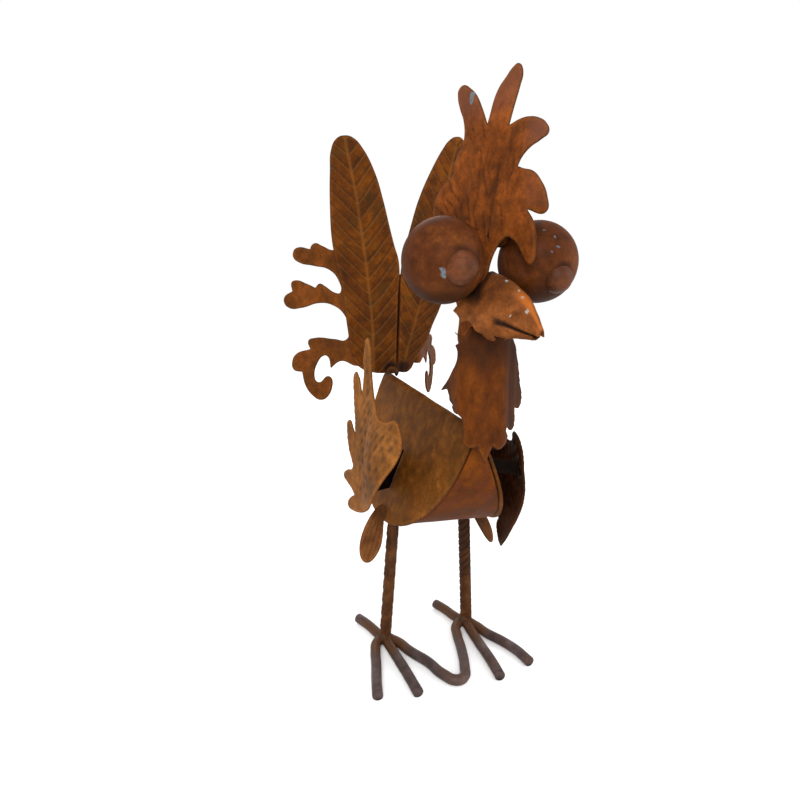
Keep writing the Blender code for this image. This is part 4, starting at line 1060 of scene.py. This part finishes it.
fringe = {"thick": 1.0, "step": 0.8, "y": 44.8, "half": {-1.0: 14.0, 1.0: 15.0}, "sweep": math.radians(55.0),
          "fold": 3.6}
fringeOutline = [
    (0.0, 44.0), (9.0, 46.0), (14.0, 56.0), (20.0, 57.2), (25.9, 54.6), (33.2, 56.7), (36.7, 57.9),
    (39.1, 56.7), (39.7, 55.4, 1), (48.2, 56.1), (50.1, 54.4), (50.2, 52.2), (47.2, 49.9), (37.6, 48.0),
    (28.9, 46.2), (24.0, 42.0), (22.8, 36.6), (26.0, 36.4), (32.0, 39.3), (34.9, 40.3), (37.4, 38.4, 1),
    (42.1, 40.1), (50.1, 41.7), (52.0, 40.6), (51.5, 36.9, 1), (56.8, 33.7), (56.9, 31.4), (53.8, 29.1),
    (46.2, 29.3), (35.2, 31.7), (27.7, 31.0), (21.0, 27.0), (18.0, 20.0), (20.0, 16.2), (26.9, 16.0),
    (38.8, 15.9), (42.5, 14.3), (41.4, 10.7, 1), (51.0, 7.3), (53.1, 3.8), (52.6, 0.5), (46.9, -0.5, 1),
    (45.2, -6.5), (41.0, -10.9), (36.1, -12.7), (31.8, -10.8), (28.7, -5.0), (29.2, -1.8), (31.5, -1.1),
    (35.8, -4.2), (38.3, -4.0), (39.4, -1.7), (37.4, 4.5), (33.0, 8.2), (30.7, 7.7), (29.3, 2.8, 1),
    (23.1, 6.4), (14.7, 4.8), (6.0, 6.0), (0.0, 6.0)]


def fringePlace(across, up):
    side = 1.0 if across > 0.0 else -1.0
    reach = abs(across)
    flat = min(reach, fringe["half"][-1.0] - fringe["fold"] / 2.0)
    stretch = fringe["half"][side] / fringe["half"][-1.0]
    start = Vector((side * flat * stretch, fringe["y"], feather["height"] + up))
    return foldRound(start, side, reach - flat, fringe["fold"], fringe["sweep"])


def fringeRelief(u, v, away):
    return -0.35 * smoothStep(away, 0.3, 4.0) + 0.2 * lump(u / 9.0, v / 9.0, 1.0)


fringeWhole = fringeOutline + scaled(fringeOutline[-2:0:-1], -1.0, 1.0)
addPiece("tailFringe", cutSheet(fringeWhole, fringe, fringePlace, fringeRelief), "fringeSteel", "tail_fringe")

tab = {"thick": 1.2, "step": 0.35, "edge": 0.5, "lift": 1.1, "clear": 1.15, "burnAndShade": 0.35}
tabHeight = foldedBody(feather["y"] - body["y"], 0.0).z + tab["lift"]
tabFront = feather["y"] - tab["clear"] - tab["thick"] / 2.0
tabOutline = [(-3.4, 0.0, 1), (3.0, 0.0, 1), (1.9, 2.2), (0.4, 3.1), (-1.2, 3.1), (-2.4, 2.2)]
addPiece("tailTab", cutSheet(tabOutline, tab, lambda u, v: Vector((u, tabFront, tabHeight + v)),
                             lambda u, v, away: 0.25 * lump(u, v, 2.0),
                             {"burnAndShadeRule": lambda u, v, away: tab["burnAndShade"]}),
         "weldSteel", "tail_tab")

# A burnt weld runs up between the feet of the two feathers
tailWeld = {"centre": Vector((2.5, 41.1, 104.4)), "radii": (1.15, 1.25, 3.4), "burnRadius": 5.0, "burnAndShade": 0.6}
seam = roundBall(tailWeld["centre"], tailWeld["radii"], 6.0, 0.1, 20)
paint(seam, {"burnAndShade": [(*tailWeld["centre"], tailWeld["burnRadius"], tailWeld["burnAndShade"])]})
addPiece("tailWeld", seam, "weldSteel")
print("tail made")


# Wings

wing = {"thick": 1.0, "step": 0.6, "rimWidth": 1.1, "height": 66.2, "splay": math.radians(8.0),
        "tilt": math.radians(6.0), "dome": {-1.0: 4.5, 1.0: 2.2}, "domeMiddle": (11.0, -10.0),
        "domeHalf": (13.5, 21.0), "turn": {-1.0: 0.0, 1.0: math.radians(-18.0)},
        "root": {-1.0: Vector((-21.5, -26.0, 88.0)), 1.0: Vector((20.5, -30.0, 84.0))},
        "finish": {-1.0: "wingSteel", 1.0: "shadedWingSteel"}, "dent": 0.6, "rowMm": 2.9, "markMm": 4.6,
        "slant": math.radians(58.0), "markHalf": (1.5, 0.8)}
wingOutline = [
    (19.3, 9.8), (14.2, 7.2), (8.2, 7.0), (3.5, 8.3), (0.3, 5.9), (-1.6, 1.2), (-0.5, -4.8), (3.1, -11.4),
    (7.6, -18.1), (13.1, -24.6), (19.6, -28.9), (25.1, -31.2), (31.0, -32.2), (35.0, -32.0), (35.6, -30.2),
    (33.8, -27.9), (30.6, -26.0, 1), (34.0, -24.2), (38.0, -23.0), (41.6, -21.2), (38.7, -18.2), (35.1, -17.0),
    (33.8, -15.4, 1), (38.0, -11.0), (41.2, -5.6), (41.6, 1.0), (36.6, -1.7), (34.0, -4.8, 1), (36.4, 4.0),
    (38.9, 12.0), (39.2, 20.2), (35.8, 18.6), (33.6, 15.2), (32.2, 12.0, 1), (31.6, 19.0), (33.2, 28.0),
    (31.6, 33.9), (28.9, 31.0), (26.2, 23.0), (24.4, 17.4)]
wingLeftOutline = [
    (19.3, 9.8), (14.2, 7.2), (8.0, 3.9), (3.9, 4.0), (1.0, 6.4), (-1.8, 6.1), (-5.0, 1.4), (-4.7, -3.9),
    (-0.8, -11.2), (5.4, -18.4), (13.5, -25.6), (22.0, -31.6), (27.0, -34.4), (34.2, -37.8, 1),
    (35.6, -35.0)] + wingOutline[15:]


def wingPlace(side):
    outward = Vector((side * math.sin(wing["splay"]), math.cos(wing["splay"]), 0.0))
    upward = Vector((-side * math.sin(wing["tilt"]), 0.0, math.cos(wing["tilt"])))
    turn = wing["turn"][side]

    def place(back, up):
        across = 1.0 - ((back - wing["domeMiddle"][0]) / wing["domeHalf"][0]) ** 2
        along = 1.0 - ((up - wing["domeMiddle"][1]) / wing["domeHalf"][1]) ** 2
        dome = wing["dome"][side] * max(across, 0.0) * max(along, 0.0)
        turnedBack = back * math.cos(turn) - up * math.sin(turn)
        turnedUp = back * math.sin(turn) + up * math.cos(turn)
        return wing["root"][side] + outward * turnedBack + upward * turnedUp + Vector((side * dome, 0.0, 0.0))

    return place


def wingDent(u, v):
    # Oval hammer marks in staggered slanting rows
    along = u * math.cos(wing["slant"]) - v * math.sin(wing["slant"])
    across = u * math.sin(wing["slant"]) + v * math.cos(wing["slant"])
    row = math.floor(across / wing["rowMm"])
    place = along / wing["markMm"] + (0.5 if row % 2 else 0.0) + 0.3 * lump(row * 1.7, 3.0, 1.0)
    number = math.floor(place)
    inRow = (place - number - 0.5 + 0.2 * lump(row, number, 4.0)) * wing["markMm"]
    inGap = across - (row + 0.5 + 0.25 * lump(number, row, 7.0)) * wing["rowMm"]
    mark = math.exp(-(inRow / wing["markHalf"][0]) ** 2 - (inGap / wing["markHalf"][1]) ** 2)
    return mark * smoothStep(lump(row * 0.9, number * 0.9, 9.0), -0.7, 0.1)


def wingMask(u, v, away):
    return smoothStep(away, 1.2, 3.0) * (1.0 - smoothStep(u, 27.0, 33.0)) * smoothStep(v, -27.0, -20.0)


def makeWing(side, outline):
    place = wingPlace(side)
    u, v = wing["domeMiddle"]
    normal = (place(u + 0.1, v) - place(u, v)).cross(place(u, v + 0.1) - place(u, v))
    facing = 1.0 if normal.x * side > 0.0 else -1.0

    def relief(u, v, away):
        dents = wing["dent"] * wingDent(u, v) * wingMask(u, v, away)
        groove = 0.18 * lump((v - 0.25 * u) / 1.6, u / 18.0, 3.0) * smoothStep(u, 20.0, 27.0)
        return facing * (groove - dents) + 0.1 * lump(u / 5.0, v / 5.0, 0.0)

    def tintAndLight(u, v, away):
        return 0.8 * wingDent(u, v) * wingMask(u, v, away)

    return cutSheet(outline, wing, place, relief, {"tintAndLightRule": tintAndLight})


for side, outline in ((-1.0, sized(wingOutline, wing["height"])), (1.0, wingLeftOutline)):
    name = sides[side]
    addPiece("wing" + name.capitalize(), makeWing(side, outline), wing["finish"][side], "wing_" + name)

# Each strap runs from two depths on the disc to two spots on its wing
strap = {"thick": 1.0, "step": 0.5, "edge": 0.4, "along": {-1.0: -2.2, 1.0: -39.0},
         "depths": {-1.0: (22.2, 38.1), 1.0: (13.0, 19.6)},
         "spots": {-1.0: ((27.5, -10.2), (27.5, -25.2)), 1.0: ((-1.8, -4.3), (-0.2, -9.0))}}


def strapRelief(u, v, away):
    return 0.12 * lump(u / 2.0, v / 2.0, 1.0)


def strapSheet(side):
    clear = body["thick"] / 2.0 + body["gap"]
    place = wingPlace(side)
    inner = [panelPoint(strap["along"][side], depth, side, clear) for depth in strap["depths"][side]]
    back = Vector((side * (clear + body["gap"] / 2.0), 0.0, 0.0))
    outer = [place(*spot) - back for spot in strap["spots"][side]]
    width = (inner[1] - inner[0]).length
    length = (outer[0] - inner[0]).length
    points = [(0.0, 0.0, 1), (length, 0.0, 1), (length, width, 1), (0.0, width, 1)]

    def bend(u, v):
        start = inner[0].lerp(inner[1], v / width)
        return start.lerp(outer[0].lerp(outer[1], v / width), u / length)

    return cutSheet(points, strap, bend, strapRelief)


for side, name in sides.items():
    addPiece("wingStrap" + name.capitalize(), strapSheet(side), "shadedStrapSteel", "wing_strap_" + name)

# tip and facing are the left leaf's, and are mirrored for the right one
leaf = {"thick": 0.8, "step": 0.4, "edge": 0.4, "length": 22.8, "width": 10.0, "vein": 0.16, "veinMm": 1.9,
        "rib": 0.22, "ribMm": 0.5, "cup": 0.05, "outlineSteps": 26, "tip": (27.2, -3.7, 37.7),
        "facing": (0.65, -0.75, 0.15), "root": {-1.0: (-17.4, 3.6, 57.0), 1.0: (18.4, 3.6, 57.0)}}


def leafSheet(side, cutPoint, cutTowards):
    root = Vector(leaf["root"][side])
    tip, facing = [Vector((side * x, y, z)) for x, y, z in (leaf["tip"], leaf["facing"])]
    axis = (tip - root).normalized()
    across = axis.cross(facing).normalized()
    normal = across.cross(axis)
    points = []
    for index in range(leaf["outlineSteps"]):
        angle = 2.0 * math.pi * (index + 0.5) / leaf["outlineSteps"]
        along = 0.5 - 0.5 * math.cos(angle)
        points.append((along * leaf["length"], 0.5 * leaf["width"] * math.sin(angle) * (0.72 + 0.28 * along)))

    def place(u, v):
        return root + axis * u + across * v + normal * (leaf["cup"] * v * v)

    def vein(u, v):
        # The veins spread from the root, 1 on a vein and -1 between two
        spread = v / (0.45 + 0.55 * smoothStep(u, 0.0, leaf["length"] * 0.6))
        return math.cos(spread * 2.0 * math.pi / leaf["veinMm"] + 0.6 * lump(u / 4.0, v, 1.0))

    def relief(u, v, away):
        rib = leaf["rib"] * math.exp(-(v / leaf["ribMm"]) ** 2)
        return (leaf["vein"] * vein(u, v) + rib) * smoothStep(away, 0.2, 1.2)

    def tintAndLight(u, v, away):
        return 0.45 * max(0.0, -vein(u, v)) * smoothStep(away, 0.3, 1.4)

    def trim(work):
        parts = work.verts[:] + work.edges[:] + work.faces[:]
        cut = bmesh.ops.bisect_plane(
            work, geom=parts, dist=0.01, plane_co=cutPoint, plane_no=cutTowards, clear_outer=True)["geom_cut"]
        bmesh.ops.holes_fill(work, edges=[item for item in cut if isinstance(item, bmesh.types.BMEdge)])

    mesh = cutSheet(points, leaf, place, relief, {"tintAndLightRule": tintAndLight})
    facesOut(mesh, trim)
    return mesh


# The right leaf stops at the disc's face, the left one under the disc's edge
rightFace = panelPoint(0.0, body["radius"], -1.0, body["thick"] / 2.0 + body["gap"])
leftFoot = panelPoint(0.0, body["drop"][1.0] + body["radius"], 1.0)
leftFoot.z -= body["thick"] / 2.0 * math.sin(body["tilt"][1.0]) + body["gap"] * 2.0
leafCuts = {-1.0: (rightFace, -panelNormal(-1.0)), 1.0: (leftFoot, Vector((0.0, 0.0, 1.0)))}
for side, name in sides.items():
    leafMesh = leafSheet(side, *leafCuts[side])
    addPiece("thighLeaf" + name.capitalize(), leafMesh, "leafSteel", "thigh_leaf_" + name)
print("wings and leaves made")


# Floor, light and camera

studio = {"floor": "#ffffff", "floorHalf": 3.0, "floorRough": 0.9, "world": "#ffffff", "worldStrength": 1.0,
          "lens": 27.0, "sensor": 36.0, "clip": 0.01, "camera": (-91.04, -205.19, 141.4),
          "pitch": math.radians(79.0), "turn": math.radians(-21.14), "target": (0.0, 0.0, 0.1),
          "lights": {"keyLight": ((-0.35, -0.75, 0.6), 0.5, 7.0), "fillLight": ((0.7, -0.5, 0.4), 0.6, 2.5),
                     "backLight": ((0.2, 0.7, 0.6), 0.5, 1.5)}}

half = studio["floorHalf"]
floorMesh = bpy.data.meshes.new("floor")
floorMesh.from_pydata([(-half, -half, 0.0), (half, -half, 0.0), (half, half, 0.0), (-half, half, 0.0)], [],
                      [(0, 1, 2, 3)])
floor = linked("floor", floorMesh)
floorMaterial = bpy.data.materials.new("paleMattFloor")
floorMaterial.use_nodes = True
floorShader = floorMaterial.node_tree.nodes["Principled BSDF"]
floorShader.inputs["Base Color"].default_value = linear(studio["floor"])
floorShader.inputs["Roughness"].default_value = studio["floorRough"]
floorMesh.materials.append(floorMaterial)

world = bpy.data.worlds.new("studio")
world.use_nodes = True
background = world.node_tree.nodes["Background"]
background.inputs["Color"].default_value = linear(studio["world"])
background.inputs["Strength"].default_value = studio["worldStrength"]
bpy.context.scene.world = world

for name, (place, size, power) in studio["lights"].items():
    lamp = bpy.data.lights.new(name, "AREA")
    lamp.shape = "DISK"
    lamp.size = size
    lamp.energy = power
    thing = linked(name, lamp)
    thing.location = place
    thing.rotation_euler = (Vector(studio["target"]) - Vector(place)).to_track_quat("-Z", "Y").to_euler()

cameraData = bpy.data.cameras.new("camera")
cameraData.lens = studio["lens"]
cameraData.sensor_width = studio["sensor"]
cameraData.clip_start = studio["clip"]
camera = linked("camera", cameraData)
camera.location = toFrame @ Vector(studio["camera"])
camera.rotation_euler = (studio["pitch"], 0.0, studio["turn"])
bpy.context.scene.camera = camera
bpy.context.scene.view_settings.view_transform = "Standard"
print("studio set")
